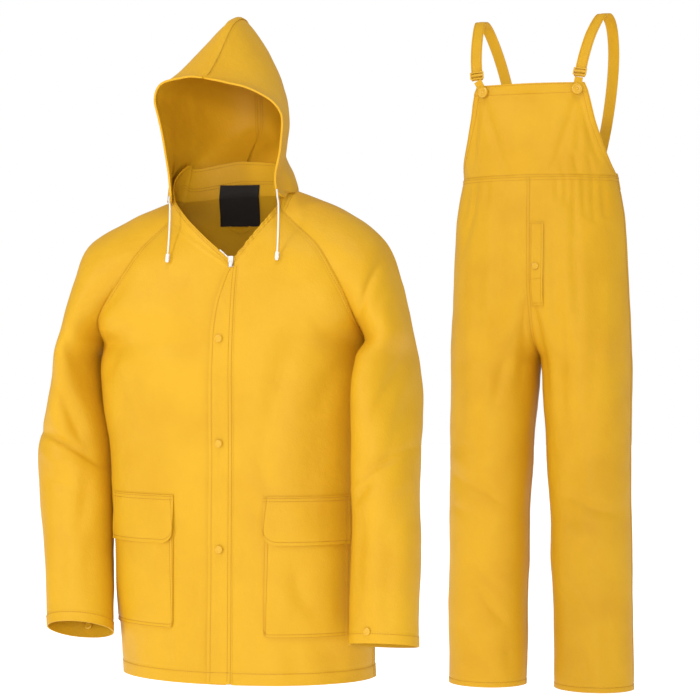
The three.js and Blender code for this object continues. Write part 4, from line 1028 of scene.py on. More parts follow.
OVERALLS_FOLDS = [
    # Knees
    fold(15, 7, (-196, -520), (-150, -548), (-104, -560), (-66, -590), step=0.4, ends=0.15),
    fold(15, -4, (-200, -480), (-140, -500), (-92, -520)),
    fold(13, 5, (-190, -590), (-140, -606), (-96, -622)),
    fold(13, 3.5, (-168, -452), (-120, -470)),
    fold(15, 6, (52, -556), (100, -566), (150, -590), (196, -600), step=-0.3, ends=0.15),
    fold(15, -3.5, (70, -620), (150, -660)),
    fold(13, 3.5, (64, -500), (110, -520)),
    # Long falls of the legs
    fold(17, 8, (58, 20), (64, -160), (72, -300), (76, -440)),
    fold(13, 4.5, (96, 30), (104, -80), (110, -200)),
    fold(20, 5, (150, -20), (152, -160), (140, -330), (132, -470)),
    fold(16, 5, (182, 60), (190, -100), (190, -300)),
    fold(20, 4.5, (-60, 60), (-66, -140), (-72, -360)),
    fold(18, 4.5, (-110, -20), (-114, -160), (-112, -320)),
    fold(18, 4, (-160, -200), (-158, -330), (-164, -440)),
    fold(14, 4, (-186, 20), (-190, -120), (-188, -260)),
    # Gathers below the waist
    fold(7, 4, (96, 130), (100, 60), (102, 10), ends=0.6),
    fold(7, 4.5, (116, 130), (121, 50), ends=0.7),
    fold(8, 5, (134, 130), (140, 40), ends=0.6),
    fold(7, 4.5, (152, 128), (160, 50), ends=0.7),
    fold(6, 3.4, (80, 130), (82, 76), ends=0.7),
    fold(6, 2.8, (62, 130), (63, 86), ends=0.7),
    fold(10, 6, (-128, 126), (-134, 60), (-158, -30), ends=0.4, sharp=0.3),
    fold(9, 4.5, (-148, 120), (-158, 40), ends=0.5),
    fold(7, 2.8, (-96, 128), (-99, 80), ends=0.7),
    # Crotch
    fold(14, 11, (6, -120), (12, -180), (20, -250), (32, -340), sharp=0.35),
    fold(13, 9, (-6, -140), (-14, -220), (-30, -330), sharp=0.35),
    fold(13, 5, (34, -210), (56, -280), (66, -380)),
    fold(13, 5.5, (-34, -210), (-60, -290), (-84, -380)),
    fold(14, 3.5, (-14, -150), (-50, -190), (-100, -206)),
    fold(14, 3.5, (40, -150), (90, -190)),
    # Lower legs
    fold(13, 6, (-130, -760), (-96, -812), (-62, -856), ends=0.15),
    fold(15, 4.5, (-150, -700), (-100, -750), (-70, -776)),
    fold(15, 4.5, (-176, -850), (-130, -900), (-100, -960)),
    fold(15, 4.5, (60, -740), (110, -800), (140, -850)),
    fold(12, 6, (84, -860), (116, -930), (134, -986), sharp=0.2),
    fold(16, 4.5, (170, -700), (165, -860), (172, -980)),
    fold(13, 3.5, (-60, -880), (-56, -980)),
    # Bib: falls from the buttons
    fold(10, 5, (-108, 312), (-88, 250), (-66, 190), (-50, 140), ends=0.45, sharp=0.25),
    fold(9, 4.5, (-116, 306), (-128, 230), (-136, 160), ends=0.45, sharp=0.2),
    fold(10, 5, (104, 312), (88, 250), (68, 190), (48, 140), ends=0.45, sharp=0.25),
    fold(9, 5, (112, 306), (126, 240), (146, 170), ends=0.45, sharp=0.25),
    fold(9, 3, (108, 300), (108, 230), (104, 160), ends=0.4),
    fold(14, 3, (-95, 330), (0, 312), (92, 330), ends=0.4),
    fold(6, 2.6, (70, 172), (74, 140), ends=0.7),
    fold(6, 2.8, (98, 180), (104, 140), ends=0.7),
    fold(6, 2.8, (128, 178), (134, 140), ends=0.7),
    # The back
    fold(22, 9, (-70, -140), (-50, -220), (-20, -300), face=1),
    fold(22, 9, (70, -140), (50, -220), (20, -300), face=1),
    fold(22, 6, (-110, -260), (-90, -420), face=1),
    fold(22, 6, (110, -260), (90, -420), face=1),
    fold(15, 7, (-190, -560), (-140, -580), (-90, -585), face=1, step=0.3),
    fold(15, 7, (190, -560), (140, -584), (90, -590), face=1, step=0.3),
    fold(14, 5, (-180, -620), (-100, -635), face=1),
    fold(14, 5, (180, -630), (100, -640), face=1),
    fold(18, 5, (-120, -760), (-110, -940), face=1),
    fold(18, 5, (120, -760), (130, -940), face=1),
]


# Rows and columns of the overalls' grids
TRUNK_COUNT, BIB_COUNT, BIB_HEM_COUNT = 96, 46, 11
LEG_COLS = 52


def build_overalls():
    """The overalls' skin and its normals."""
    t = np.linspace(0, 1, TRUNK_COUNT)
    z = rows_down(-274.0, LEG_HEM, -4.6)
    half = edged(LEG_COLS)
    both = np.concatenate([half, 1 + half[1:]])
    s = track("t", TRUNK, TRUNK_ROWS)(t)
    opening = np.radians(np.minimum(180.0, s["open"]))
    front_seam = xyz(0, s["y"] - s["depth"] * np.sin(opening), s["z"])
    back_seam = xyz(0, s["y"] + s["depth"] * np.sin(opening), s["z"])
    legs = track("z", LEG, LEG_RINGS)(z)
    rise_share = np.interp(t, [0, 1 / 7, 2 / 7], [46.0, 14.0, 0.0])
    sides = {}
    for name, side in (("left", 1), ("right", -1)):
        mid = xyz(0, s["y"], s["z"])
        ridge = xyz(side * s["side"], s["y"] - 2, s["z"])
        forward = np.tile([0.0, -1.0, 0.0], (len(t), 1))
        trunk = arcs(mid, forward, ridge, s["depth"], s["open"], both)
        trunk[:, 0] = front_seam
        trunk[:, -1] = back_seam
        lift = np.clip(both - 1, 0, 1)
        trunk[..., 2] += rise_share[:, None] * np.sin(lift * np.pi / 2)[None, :]
        inner = xyz(side * legs["inner"], legs["y"], z)
        outer = xyz(side * legs["outer"], legs["y"] - 2, z)
        forward = np.tile([0.0, -1.0, 0.0], (len(z), 1))
        low = arcs(inner, forward, outer, legs["depth"], np.full(len(z), 180.0), both)
        low[:, -1] = low[:, 0]
        sides[name] = np.concatenate([trunk, low])
    levels = np.concatenate([np.linspace(139, BIB_TOP - 26, BIB_COUNT),
                             np.linspace(BIB_TOP - 23, BIB_TOP, BIB_HEM_COUNT)])
    b = track("z", BIB, BIB_ROWS)(levels)
    centre = xyz(0, b["centre_y"], levels)
    halves = [quarters(centre, xyz(side * b["half"], b["edge_y"], levels), b["sweep"], half)
              for side in (-1, 1)]
    waist = np.concatenate([sides["right"][0, :len(half)][::-1], sides["left"][0, 1:len(half)]])
    bib = np.concatenate([waist[None], np.concatenate([halves[0][:, ::-1], halves[1][:, 1:]], axis=1)])
    n = len(half)
    panels = {
        "leg_front_left": sides["left"][:, :n],
        "leg_back_left": sides["left"][:, n - 1:],
        "leg_front_right": flip(sides["right"][:, :n]),
        "leg_back_right": flip(sides["right"][:, n - 1:]),
        "bib": bib[::-1],
    }
    skin = Skin(panels)
    normals = skin.normals()
    push = fold_push(skin.points, normals, OVERALLS_FOLDS)
    push += crumple(skin.points, 110.0, 2.6, 23.0) + crumple(skin.points, 38.0, 0.8, 31.0)
    x, y, zz = skin.points[:, 0], skin.points[:, 1], skin.points[:, 2]
    gather = smoothstep(y, 5, 45) * smoothstep(zz, 20, 95)
    around = np.arctan2(x, y) * 150.0
    push -= gather * (2.6 * np.sin(around / 3.4 + 0.8 * np.sin(around / 17.0)) + 2.0)
    skin.press(push)
    return skin, skin.normals()


overalls, overalls_normals = build_overalls()
OVERALLS_RULES = {
    "leg_front_left": [("bottom", 12, 0.6), ("right", 7, 0.5), ("top", 9, 0.5), ("left", 5, 0.5)],
    "leg_back_left": [("bottom", 12, 0.6), ("left", 3, 0.2), ("top", 30, 0.8), ("right", 5, 0.5)],
    "leg_front_right": [("bottom", 12, 0.6), ("left", 7, 0.5), ("top", 9, 0.5), ("right", 5, 0.5)],
    "leg_back_right": [("bottom", 12, 0.6), ("right", 3, 0.2), ("top", 30, 0.8), ("left", 5, 0.5)],
    "bib": [("top", 24, 0.8), ("left", 14, 0.6), ("right", 14, 0.6), ("bottom", 4, 0.4)],
}
add_panels(overalls, overalls_normals, OVERALLS, OVERALLS_RULES)


# Pieces that lie on the panels
def on_surface(grid, normals, x, z):
    """Points and normals of a panel at places of its front plane."""
    x, z = np.broadcast_arrays(np.asarray(x, float), np.asarray(z, float))
    points, ns = np.empty(x.shape + (3,)), np.empty(x.shape + (3,))
    rows = np.arange(grid.shape[0], dtype=float)
    cols = np.arange(grid.shape[1], dtype=float)
    centre_z = grid[:, grid.shape[1] // 2, 2]
    for at in np.ndindex(x.shape):
        r = float(np.interp(-z[at], -centre_z, rows))
        c = 0.0
        for _ in range(4):
            r0 = min(int(r), grid.shape[0] - 2)
            line = grid[r0] * (1 - (r - r0)) + grid[r0 + 1] * (r - r0)
            order = 1 if line[-1, 0] > line[0, 0] else -1
            c = float(np.interp(order * x[at], order * line[:, 0], cols))
            c0 = min(int(c), grid.shape[1] - 2)
            column = grid[:, c0, 2] * (1 - (c - c0)) + grid[:, c0 + 1, 2] * (c - c0)
            r = float(np.interp(-z[at], -column, rows))
        r0, c0 = min(int(r), grid.shape[0] - 2), min(int(c), grid.shape[1] - 2)
        u, v = r - r0, c - c0
        for source, target in ((grid, points), (normals, ns)):
            target[at] = ((source[r0, c0] * (1 - v) + source[r0, c0 + 1] * v) * (1 - u)
                          + (source[r0 + 1, c0] * (1 - v) + source[r0 + 1, c0 + 1] * v) * u)
    return points, unit(ns)


def patch(grid, normals, left, right, top, bottom, rows, cols):
    """A grid over part of a panel. The sides are x at a height, the ends z at a share of the width."""
    s = edged(cols)[None, :]
    w = edged(rows)[:, None]
    z = np.array([[top(a) for a in s[0]]]) * (1 - w) + np.array([[bottom(a) for a in s[0]]]) * w
    lefts = np.vectorize(left)(z)
    rights = np.vectorize(right)(z)
    x = lefts * (1 - s) + rights * s
    return on_surface(grid, normals, x, z)


def rounded_end(z, width, radius, corner):
    """The height of an end with one rounded corner, at a share of the width."""
    def at(share):
        d = share * width if corner == "left" else (1 - share) * width
        if d >= radius:
            return z
        return z + radius - math.sqrt(max(0.0, radius * radius - (radius - d) ** 2))
    return at


stitch_lines = {"jacket": [], "overalls": []}
OVERLAY = 1.5


def sew_borders(group, outer, normals, lines):
    """Adds stitches at distances from borders: (border, distance)."""
    stitch_lines[group] += [along_border(outer, normals, border, dist) for border, dist in lines]


def add_overlay(node, group, place, grid, normals, lift, bands, lines, hidden=0.0):
    """A piece laid on a panel, with its seam bands and its lines of stitches."""
    relief = seam_relief(grid, bands) - hidden
    obj, outer = wall(f"{node}_cloth", grid, normals, place, thickness=OVERLAY, lift=lift, relief=relief)
    add_cloth(obj, node)
    sew_borders(group, outer, normals, lines)


fronts_grid, fronts_normals = (np.concatenate(pair, axis=1) for pair in
                               zip(outers["jacket_front_right"], outers["jacket_front_left"]))

FLAP_EDGE = ("z", "free", "sewn")
FLAP_ROWS = [
    (-102, 4, 18), (-112, -3, 18), (-132, -9, 17), (-164, -18, 16), (-208, -25, 15), (-250, -27, 14),
    (-330, -28.5, 13.5), (-450, -29, 13), (-580, -30, 12), (-700, -31, 11.5), (-806, -32, 11),
]
flap_track = track("z", FLAP_EDGE, FLAP_ROWS)
flap, flap_n = patch(fronts_grid, fronts_normals, lambda z: float(flap_track(z)["free"][0]),
                     lambda z: float(flap_track(z)["sewn"][0]), lambda s: -103.0 - 3.0 * (1 - s),
                     lambda s: -806.0, 190, 18)
d = border_distance(flap)
loose = 1 - smoothstep(d["left"], 0, 22)
wavy = 1 - smoothstep(d["left"], 0, 16)
flap_lift = 0.4 + 3.4 * loose * smoothstep(d["top"], 0, 40)
flap_lift += 0.9 * wavy * np.sin(flap[..., 2] / 31.0) * smoothstep(d["top"], 0, 60)
add_overlay("storm_flap", "jacket", JACKET, flap, flap_n, flap_lift, [("left", 6, 0.3), ("bottom", 20, 0.5)],
            [("left", 5.5), ("right", 3.0), ("right", 8.5), ("bottom", 19)],
            hidden=1.7 * (1 - smoothstep(d["right"], 0, 6)))

POCKETS = {
    "right": {"inner": -97.0, "outer": -226.0, "bottom": -718.0},
    "left": {"inner": 64.0, "outer": 193.0, "bottom": -729.0},
}
POCKET_SIDES = ("left", "right", "bottom")
# Heights of a flap's top and end, and of its pocket's hidden top
POCKET_TOP, FLAP_BOTTOM, POCKET_HEAD = -491.0, -573.0, -548.0
for name, place in POCKETS.items():
    grid, n = outers[f"jacket_front_{name}"]
    low, high = sorted((place["inner"], place["outer"]))
    width = high - low
    body, body_n = patch(grid, n, lambda z: low, lambda z: high, lambda s: POCKET_HEAD,
                         rounded_end(place["bottom"], width, 9.0, name), 56, 36)
    d = border_distance(body)
    belly = smoothstep(d["left"], 0, 45) * smoothstep(d["right"], 0, 45) * smoothstep(d["bottom"], 0, 50)
    belly = belly * smoothstep(d["top"], 0, 34)
    lift = 0.5 + 2.4 * belly + 0.8 * np.sin(body[..., 0] / 21.0 + body[..., 2] / 47.0) * belly
    add_overlay(f"pocket_{name}", "jacket", JACKET, body, body_n, lift,
                [(side, 7, 0.4) for side in POCKET_SIDES],
                [(side, dist) for side in POCKET_SIDES for dist in (2.0, 7.0)])
    cover, cover_n = patch(grid, n, lambda z: low - 1.0, lambda z: high + 1.0, lambda s: POCKET_TOP,
                           rounded_end(FLAP_BOTTOM, width, 22.0, name), 34, 40)
    d = border_distance(cover)
    loose = smoothstep(d["top"], 8, 70)
    lift = 0.6 + 4.2 * loose + 0.8 * loose * np.sin(cover[..., 0] / 17.0)
    add_overlay(f"pocket_flap_{name}", "jacket", JACKET, cover, cover_n, lift,
                [(side, 6, 0.3) for side in POCKET_SIDES],
                [(side, 6.0) for side in POCKET_SIDES] + [("top", 2.5), ("top", 8.0)])

# Fly placket
PLACKET = {"left": 5.0, "right": 34.0, "top": 33.0, "bottom": -150.0}
placket, placket_n = patch(*outers["leg_front_left"], lambda z: PLACKET["left"], lambda z: PLACKET["right"],
                           lambda s: PLACKET["top"], lambda s: PLACKET["bottom"], 60, 14)
d = border_distance(placket)
placket_lift = 0.6 + 1.4 * (1 - smoothstep(d["right"], 0, 12)) * smoothstep(d["bottom"], 0, 30)
add_overlay("fly_placket", "overalls", OVERALLS, placket, placket_n, placket_lift,
            [("left", 4, 0.3), ("right", 5, 0.3), ("bottom", 8, 0.4)],
            [("left", 2.5), ("right", 4.5), ("bottom", 2.5), ("bottom", 8.0), ("bottom", 62.0), ("top", 3.0)])

# Label and hanger loop inside the neck
back_grid, back_n = outers["jacket_back"]
collar_outer, collar_n = outers["collar"]
reach = (back_grid.shape[1] - 1) // 2
nape_columns = slice(middle - reach, middle + reach + 1)
nape_grid = np.concatenate([collar_outer[:-1, nape_columns], back_grid])
nape_n = np.concatenate([collar_n[:-1, nape_columns], back_n])
LABEL = {"left": -66.0, "right": 7.0, "top": 48.0, "bottom": -22.0, "slant": 0.18}
LABEL_DEPTH = 3.4
label, label_n = patch(nape_grid, nape_n, lambda z: LABEL["left"] - LABEL["slant"] * (LABEL["top"] - z),
                       lambda z: LABEL["right"] - LABEL["slant"] * (LABEL["top"] - z),
                       lambda s: LABEL["top"], lambda s: LABEL["bottom"], 30, 26)
obj, _ = wall("neck_label_cloth", flip(label - label_n * LABEL_DEPTH), flip(-label_n), JACKET, mat=LABEL_MAT,
              thickness=0.7)
add_cloth(obj, "neck_label")
LOOP = {"left": -66.0, "right": -20.0, "top": -21.0, "sag": 9.0, "half": 3.2, "rows": 5}
s = np.linspace(0, 1, 26)
loop_x = (LOOP["left"] * (1 - s) + LOOP["right"] * s)[None, :]
loop_width = np.linspace(LOOP["half"], -LOOP["half"], LOOP["rows"])[:, None]
loop_z = LOOP["top"] - LOOP["sag"] * np.sin(np.pi * s)[None, :] + loop_width
loop, loop_n = on_surface(nape_grid, nape_n, np.repeat(loop_x, LOOP["rows"], axis=0), loop_z)
loop_off = 1.9 + 5.0 * np.sin(np.pi * s)[None, :, None]
obj, _ = wall("hanger_loop_cloth", flip(loop - loop_n * loop_off), flip(-loop_n), JACKET, thickness=1.0)
add_cloth(obj, "hanger_loop")


# Straps
STRAP_ROUTES = {
    "right": [(-119, -99, 350), (-124, -90, 395), (-128, -62, 452), (-131, -18, 492), (-128, 24, 484),
              (-112, 60, 430), (-94, 86, 350), (-82, 102, 270), (-76, 111.5, 178)],
    "left": [(109, -99, 350), (118, -88, 400), (130, -58, 456), (146, -16, 498), (154, 22, 486),
             (156, 52, 440), (150, 76, 370), (134, 93, 270), (112, 98.9, 170)],
}
STRAP_HALF = 12.5
for name, route in STRAP_ROUTES.items():
    line = spline(route, 16)
    tangent = unit(np.gradient(line, axis=0))
    behind = smoothstep(line[:, 1], -25, 25)[:, None]
    outward = unit(xyz(0, line[:, 1], 60)) * (1 - behind)
    outward = unit(outward + unit(np.array([0, 1, 0.4])) * behind)
    side = -unit(np.cross(tangent, outward))
    across = np.linspace(-STRAP_HALF, STRAP_HALF, 11)
    face = unit(np.cross(tangent, side))
    facing_out = np.sign((face * outward).sum(-1))[:, None]
    dish = 0.9 * (np.abs(across) / STRAP_HALF) ** 2
    grid = line[:, None] + side[:, None] * across[None, :, None]
    grid = grid - (face * facing_out)[:, None] * dish[None, :, None]
    n = normals_of(grid)
    obj, outer = wall(f"strap_{name}_cloth", grid, n, OVERALLS, pull=0.0,
                      relief=seam_relief(grid, [("left", 3, 0.3), ("right", 3, 0.3)]))
    add_cloth(obj, f"strap_{name}")
    sew_borders("overalls", outer, n, [("left", 2.6), ("right", 2.6)])


# Hard pieces, set by the extents of the solids that they stand for
def axes_of(node):
    """Centre, the three directions from longest to shortest, and the half sizes of a solid."""
    co = np.array([v.co for v in frame["nodes"][node].data.vertices], float)
    co = np.unique(np.round(co, 7), axis=0)
    _, vectors = np.linalg.eigh(np.cov((co - co.mean(0)).T))
    dirs = vectors[:, ::-1].T
    spans = [(co @ d).min() for d in dirs], [(co @ d).max() for d in dirs]
    centre = sum(d * (a + b) / 2 for d, a, b in zip(dirs, *spans))
    half = [(b - a) / 2 for a, b in zip(*spans)]
    return centre, dirs, half


def towards(direction, axis, sign):
    """The direction or its opposite, whichever points to the given side."""
    return direction if direction[axis] * sign > 0 else -direction


SNAP_PROFILE = [(6.6, 0.0), (6.6, 1.2), (6.1, 1.9), (5.0, 2.4), (4.2, 2.5), (3.9, 2.1), (2.0, 1.95),
                (0.2, 1.9)]
FLY_SNAP_PROFILE = [(7.6, 0.0), (7.6, 1.2), (7.1, 1.9), (5.8, 2.4), (4.9, 2.5), (4.5, 2.1), (2.0, 1.95),
                    (0.2, 1.9)]
BUTTON_PROFILE = [(12.0, 0.0), (12.1, 1.6), (11.6, 3.0), (10.4, 3.9), (9.2, 4.3), (8.4, 4.2), (7.8, 3.4),
                  (3.5, 3.2), (3.1, 4.2), (2.2, 4.8), (0.2, 5.0)]
CAPS = {
    "snap_top": SNAP_PROFILE, "snap_middle": SNAP_PROFILE, "snap_bottom": SNAP_PROFILE,
    "cuff_snap_right": SNAP_PROFILE, "cuff_snap_left": SNAP_PROFILE, "fly_snap": FLY_SNAP_PROFILE,
    "bib_button_right": BUTTON_PROFILE, "bib_button_left": BUTTON_PROFILE,
}
CAP_RISE = {"snap_top": 2.2, "snap_middle": 2.2, "snap_bottom": 2.2, "fly_snap": 2.6}
for node, profile in CAPS.items():
    centre, dirs, half = axes_of(node)
    axis = towards(dirs[2], 1, -1)
    seat = centre - axis * half[2] + axis * CAP_RISE.get(node, 0.0) * MM
    finish_piece(lathe(node + "_cap", profile, seat, axis, PLASTIC_MAT), [node])


SIDES = (-1, 1)
BOX_FACES = ((0, 1, 3, 2), (4, 6, 7, 5), (0, 4, 5, 1), (2, 3, 7, 6), (0, 2, 6, 4), (1, 5, 7, 3))


def rounded_boxes(name, boxes, centre, dirs, mat, bevel=0.6):
    """Boxes (middle, half sizes) in mm along three directions, their edges rounded."""
    verts, faces = [], []
    for mid, half in boxes:
        faces += [tuple(len(verts) + i for i in f) for f in BOX_FACES]
        for sign in itertools.product(SIDES, SIDES, SIDES):
            p = np.array(mid) + np.array(half) * sign
            verts.append(centre + sum(d * c for d, c in zip(dirs, p)) * MM)
    obj = mesh_object(name, verts, faces, mat)
    tool = obj.modifiers.new("edges", "BEVEL")
    tool.width = bevel * MM
    tool.segments = 3
    tool.limit_method = "ANGLE"
    return obj


def right_handed(dirs):
    """Three directions of unit length, the first one turned round if they are left-handed."""
    d = [unit(v) for v in dirs]
    if np.dot(np.cross(d[0], d[1]), d[2]) < 0:
        d[0] = -d[0]
    return d


BUCKLE_BOXES = [
    ((-13.6, 0, 0), (1.5, 8.2, 1.5)), ((13.6, 0, 0), (1.5, 8.2, 1.5)), ((0, 7.1, 0), (14.6, 1.3, 1.4)),
    ((0, -7.1, 0), (14.6, 1.3, 1.4)), ((0, 0.6, 0.5), (14.0, 1.6, 1.2)), ((0, 3.0, 0.7), (11.5, 0.7, 0.9)),
    ((0, -2.0, 0.7), (11.5, 0.7, 0.9)),
]
TAB_HALF = 0.9
for name in ("right", "left"):
    centre, dirs, _ = axes_of(f"buckle_{name}")
    d = right_handed([dirs[0], towards(dirs[1], 2, 1), towards(dirs[2], 1, -1)])
    buckle = rounded_boxes(f"buckle_{name}_frame", BUCKLE_BOXES, centre, d, PLASTIC_MAT)
    finish_piece(buckle, [f"buckle_{name}"])
    centre, dirs, half = axes_of(f"strap_tab_{name}")
    order = sorted(zip(half, dirs), key=lambda item: -item[0])
    tab_size = (order[0][0] / MM, order[1][0] / MM, TAB_HALF)
    d = right_handed([v for _, v in order])
    tab = rounded_boxes(f"strap_tab_{name}_cloth", [((0, 0, 0), tab_size)], centre, d, CLOTH_MAT, 0.5)
    add_cloth(tab, f"strap_tab_{name}")

# Zip: tapes and teeth between the fronts, open teeth beside the collar, slider and pull tab
right_edge, left_edge = outers["jacket_front_right"][0][:, -1], outers["jacket_front_left"][0][:, 0]
tape_share = np.linspace(0, 1, 5)[None, :, None]
tape = right_edge[:, None] * (1 - tape_share) + left_edge[:, None] * tape_share
tape_n = normals_of(tape)
obj, _ = wall("zip_tape", tape - tape_n * 0.6, tape_n, JACKET, mat=WHITE_MAT, thickness=0.9, pull=0.1)
add_cloth(obj, "zip_chain")


TOOTH_LENGTH = 0.75
TOOTH_WIDTH = 1.7
TOOTH_LOW, TOOTH_HIGH = -0.4, 1.1
TOOTH_TAPER = 0.75


def teeth(name, line, normals, across, pitch, offsets):
    """Zip teeth along a line, as one mesh of small blocks."""
    run = run_of(line)
    verts, faces = [], []
    for i, at in enumerate(np.arange(pitch, run[-1], pitch)):
        n = unit(along(normals, run, at))
        a = unit(along(across, run, at))
        t = unit(np.cross(a, n))
        p = along(line, run, at) + a * offsets[i % len(offsets)]
        faces += [tuple(len(verts) + q for q in f) for f in BOX_FACES]
        for x, y, h in itertools.product(SIDES, SIDES, (TOOTH_LOW, TOOTH_HIGH)):
            taper = TOOTH_TAPER if h > 0 else 1.0
            verts.append(p + (t * x * TOOTH_LENGTH + a * y * TOOTH_WIDTH) * taper + n * h)
    return mesh_object(name, to_world(verts, JACKET), faces, WHITE_MAT, sharp=30)


zip_line = (right_edge + left_edge) / 2
zip_n = tape_n[:, 2]
zip_across = unit(left_edge - right_edge)
chain = teeth("zip_teeth", zip_line[3:], zip_n[3:], zip_across[3:], 1.5, (-0.9, 0.9))
finish_piece(chain, ())
TEETH_RUN = 24.0
for name, cols, inset in (("right", slice(None, None, -1), 0.9), ("left", slice(0, None), 2.4)):
    edge, edge_n = collar_outer[0, cols], collar_n[0, cols]
    keep = run_of(edge) < TEETH_RUN
    inward = -unit(edge_n[keep])
    up = unit(edge[keep] - collar_outer[1, cols][keep])
    line = edge[keep] + up * (2.1 - inset) + inward * inset
    finish_piece(teeth(f"zip_teeth_{name}", line, -inward, up, 1.9, (0.0,)), ())

SLIDER_BOXES = [
    ((0, 1.5, -0.9), (4.1, 5.4, 0.6)), ((0, -4.2, -0.9), (3.2, 3.0, 0.6)), ((0, 1.5, 0.8), (3.8, 5.0, 0.55)),
    ((0, -3.6, 0.8), (2.9, 2.8, 0.55)), ((0, 4.6, 0), (1.6, 2.4, 1.0)), ((0, 1.0, 1.5), (1.0, 4.0, 0.35)),
]
PULL_BOXES = [
    ((0, 5.4, 0), (2.2, 0.8, 0.7)), ((-1.8, 2.6, 0), (0.7, 3.2, 0.7)), ((1.8, 2.6, 0), (0.7, 3.2, 0.7)),
    ((0, -2.7, 0), (2.5, 3.1, 0.75)), ((0, -2.8, 0.5), (1.6, 2.0, 0.4)),
]
for node, name, boxes, body in (("zip_slider", "zip_slider_body", SLIDER_BOXES, GARMENTS),
                                ("zip_pull", "zip_pull_tab", PULL_BOXES, "zip_pull")):
    centre, dirs, _ = axes_of(node)
    out, up = towards(dirs[2], 1, -1), towards(dirs[0], 2, 1)
    d = right_handed([np.cross(up, out), up, out])
    finish_piece(rounded_boxes(name, boxes, centre, d, WHITE_MAT, 0.35), [node], body)

# The felled seam inside the hood
FELL = (6.0, 3.5, 1.2)
INSIDE = 2.2
columns = [along_border(*outers["hood_right"], "right", dist) for dist in FELL]
columns += [along_border(*outers["hood_left"], "left", dist) for dist in FELL[::-1]]
fell = np.stack([points - n * INSIDE for points, n in columns], axis=1)
fell_n = unit(np.stack([-n for _, n in columns], axis=1))
obj, _ = wall("hood_seam_fell", flip(fell), flip(fell_n), JACKET, thickness=1.3, lift=0.1)
finish_piece(obj, ())

# Sewing: lines of stitches at distances from each panel's borders
INNER_COLLAR = ((5.0, 0.0, 1.0), (36.0, 0.2, 0.8), (41.0, 0.2, 0.8))
SEWN = {
    "jacket": {
        "jacket_front_right": [("bottom", 20), ("left", 3.0), ("left", 8.0)],
        "jacket_front_left": [("bottom", 20), ("right", 3.0), ("right", 8.0)],
        "jacket_back": [("bottom", 20), ("left", 3.0), ("left", 8.0), ("right", 3.0), ("right", 8.0)],
        "sleeve_front_right": [("bottom", 16)], "sleeve_back_right": [("bottom", 16)],
        "sleeve_front_left": [("bottom", 16)], "sleeve_back_left": [("bottom", 16)],
        "collar": [("top", 3.0), ("top", 8.0)],
        "hood_right": [("left", 12.0), ("left", 2.5), ("right", 3.0), ("right", 7.0)],
        "hood_left": [("right", 12.0), ("right", 2.5), ("left", 3.0), ("left", 7.0)],
    },
    "overalls": {
        "leg_front_left": [("bottom", 11), ("right", 2.5), ("right", 7.0), ("left", 3.0), ("top", 2.5),
                           ("top", 8.5)],
        "leg_front_right": [("bottom", 11), ("left", 2.5), ("left", 7.0), ("right", 3.0), ("top", 2.5),
                            ("top", 8.5)],
        "leg_back_left": [("bottom", 11), ("top", 4.0), ("top", 28.0)],
        "leg_back_right": [("bottom", 11), ("top", 4.0), ("top", 28.0)],
        "bib": [("top", 3.0), ("top", 23.0), ("left", 3.0), ("left", 13.0), ("right", 3.0), ("right", 13.0),
                ("bottom", 3.0)],
    },
}
for group, panels in SEWN.items():
    for panel, lines in panels.items():
        sew_borders(group, *outers[panel], lines)
for dist, start, end in INNER_COLLAR:
    points, n = along_border(*outers["collar"], "top", dist, start, end)
    stitch_lines["jacket"].append((points - n * INSIDE, -n))
finish_piece(sew("jacket_stitches", stitch_lines["jacket"], JACKET))
finish_piece(sew("overalls_stitches", stitch_lines["overalls"], OVERALLS))


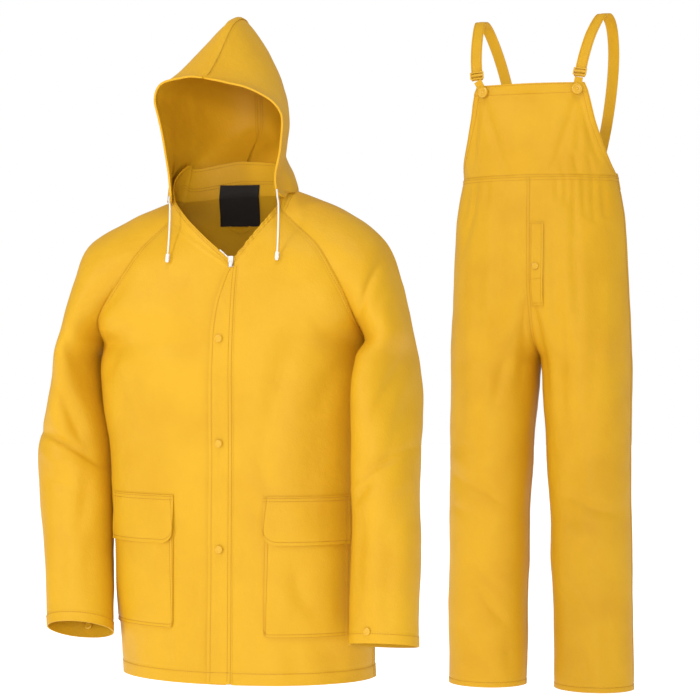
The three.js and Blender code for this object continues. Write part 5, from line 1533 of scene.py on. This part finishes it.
# Light: a white surround, a pale floor, and soft lights from the viewer's left, the front and above
SURROUND_LIGHT = 0.48
SURROUND_SEEN = 1.0
world = bpy.data.worlds.new("surround")
world.use_nodes = True
air = world.node_tree.nodes["Background"]
air.inputs["Color"].default_value = (1, 1, 1, 1)
ray = world.node_tree.nodes.new("ShaderNodeLightPath")
glow = world.node_tree.nodes.new("ShaderNodeMapRange")
glow.inputs["To Min"].default_value = SURROUND_LIGHT
glow.inputs["To Max"].default_value = SURROUND_SEEN
world.node_tree.links.new(ray.outputs["Is Camera Ray"], glow.inputs["Value"])
world.node_tree.links.new(glow.outputs["Result"], air.inputs["Strength"])
bpy.context.scene.world = world

FLOOR_Z = -1.06
FLOOR_HALF = 14.0
FLOOR_GLOW = 0.72
floor_mat = principled("pale_floor", (0.9, 0.9, 0.9), 0.9, 0.1)
floor_shader = floor_mat.node_tree.nodes["Principled BSDF"]
floor_shader.inputs["Emission Color"].default_value = (1, 1, 1, 1)
floor_shader.inputs["Emission Strength"].default_value = FLOOR_GLOW
corners = [(x * FLOOR_HALF, y * FLOOR_HALF, FLOOR_Z) for x, y in ((-1, -1), (1, -1), (1, 1), (-1, 1))]
floor = mesh_object("floor", corners, [(0, 1, 2, 3)], floor_mat)
floor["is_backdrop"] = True


def add_light(name, kind, location, target, power):
    """A light that points at a target. Returns its data."""
    data = bpy.data.lights.new(name, kind)
    data.energy = power
    obj = bpy.data.objects.new(name, data)
    obj.location = location
    obj.rotation_euler = (Vector(target) - Vector(location)).to_track_quat("-Z", "Y").to_euler()
    bpy.context.collection.objects.link(obj)
    return data


for name, location, target, power, size in (
    ("key", (-6.2, -5.2, 3.2), (0.2, 0.4, -0.3), 240.0, 1.3),
    ("front", (-0.3, -6.4, 0.7), (0.2, 0.4, -0.2), 108.0, 1.0),
    ("top", (0.2, -1.6, 4.0), (0.3, 0.5, -0.3), 60.0, 1.6),
):
    disk = add_light(name, "AREA", location, target, power)
    disk.shape = "DISK"
    disk.size = size
hood_spot = add_light("hood_spot", "SPOT", (-0.1, -4.2, -0.1), (-0.045, 0.02, 0.125), 205.0)
hood_spot.spot_size = math.radians(3.6)
hood_spot.spot_blend = 1.0
hood_spot.shadow_soft_size = 0.15
bpy.context.scene.view_settings.view_transform = "Standard"
bpy.context.scene.view_settings.look = "None"

low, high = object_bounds()
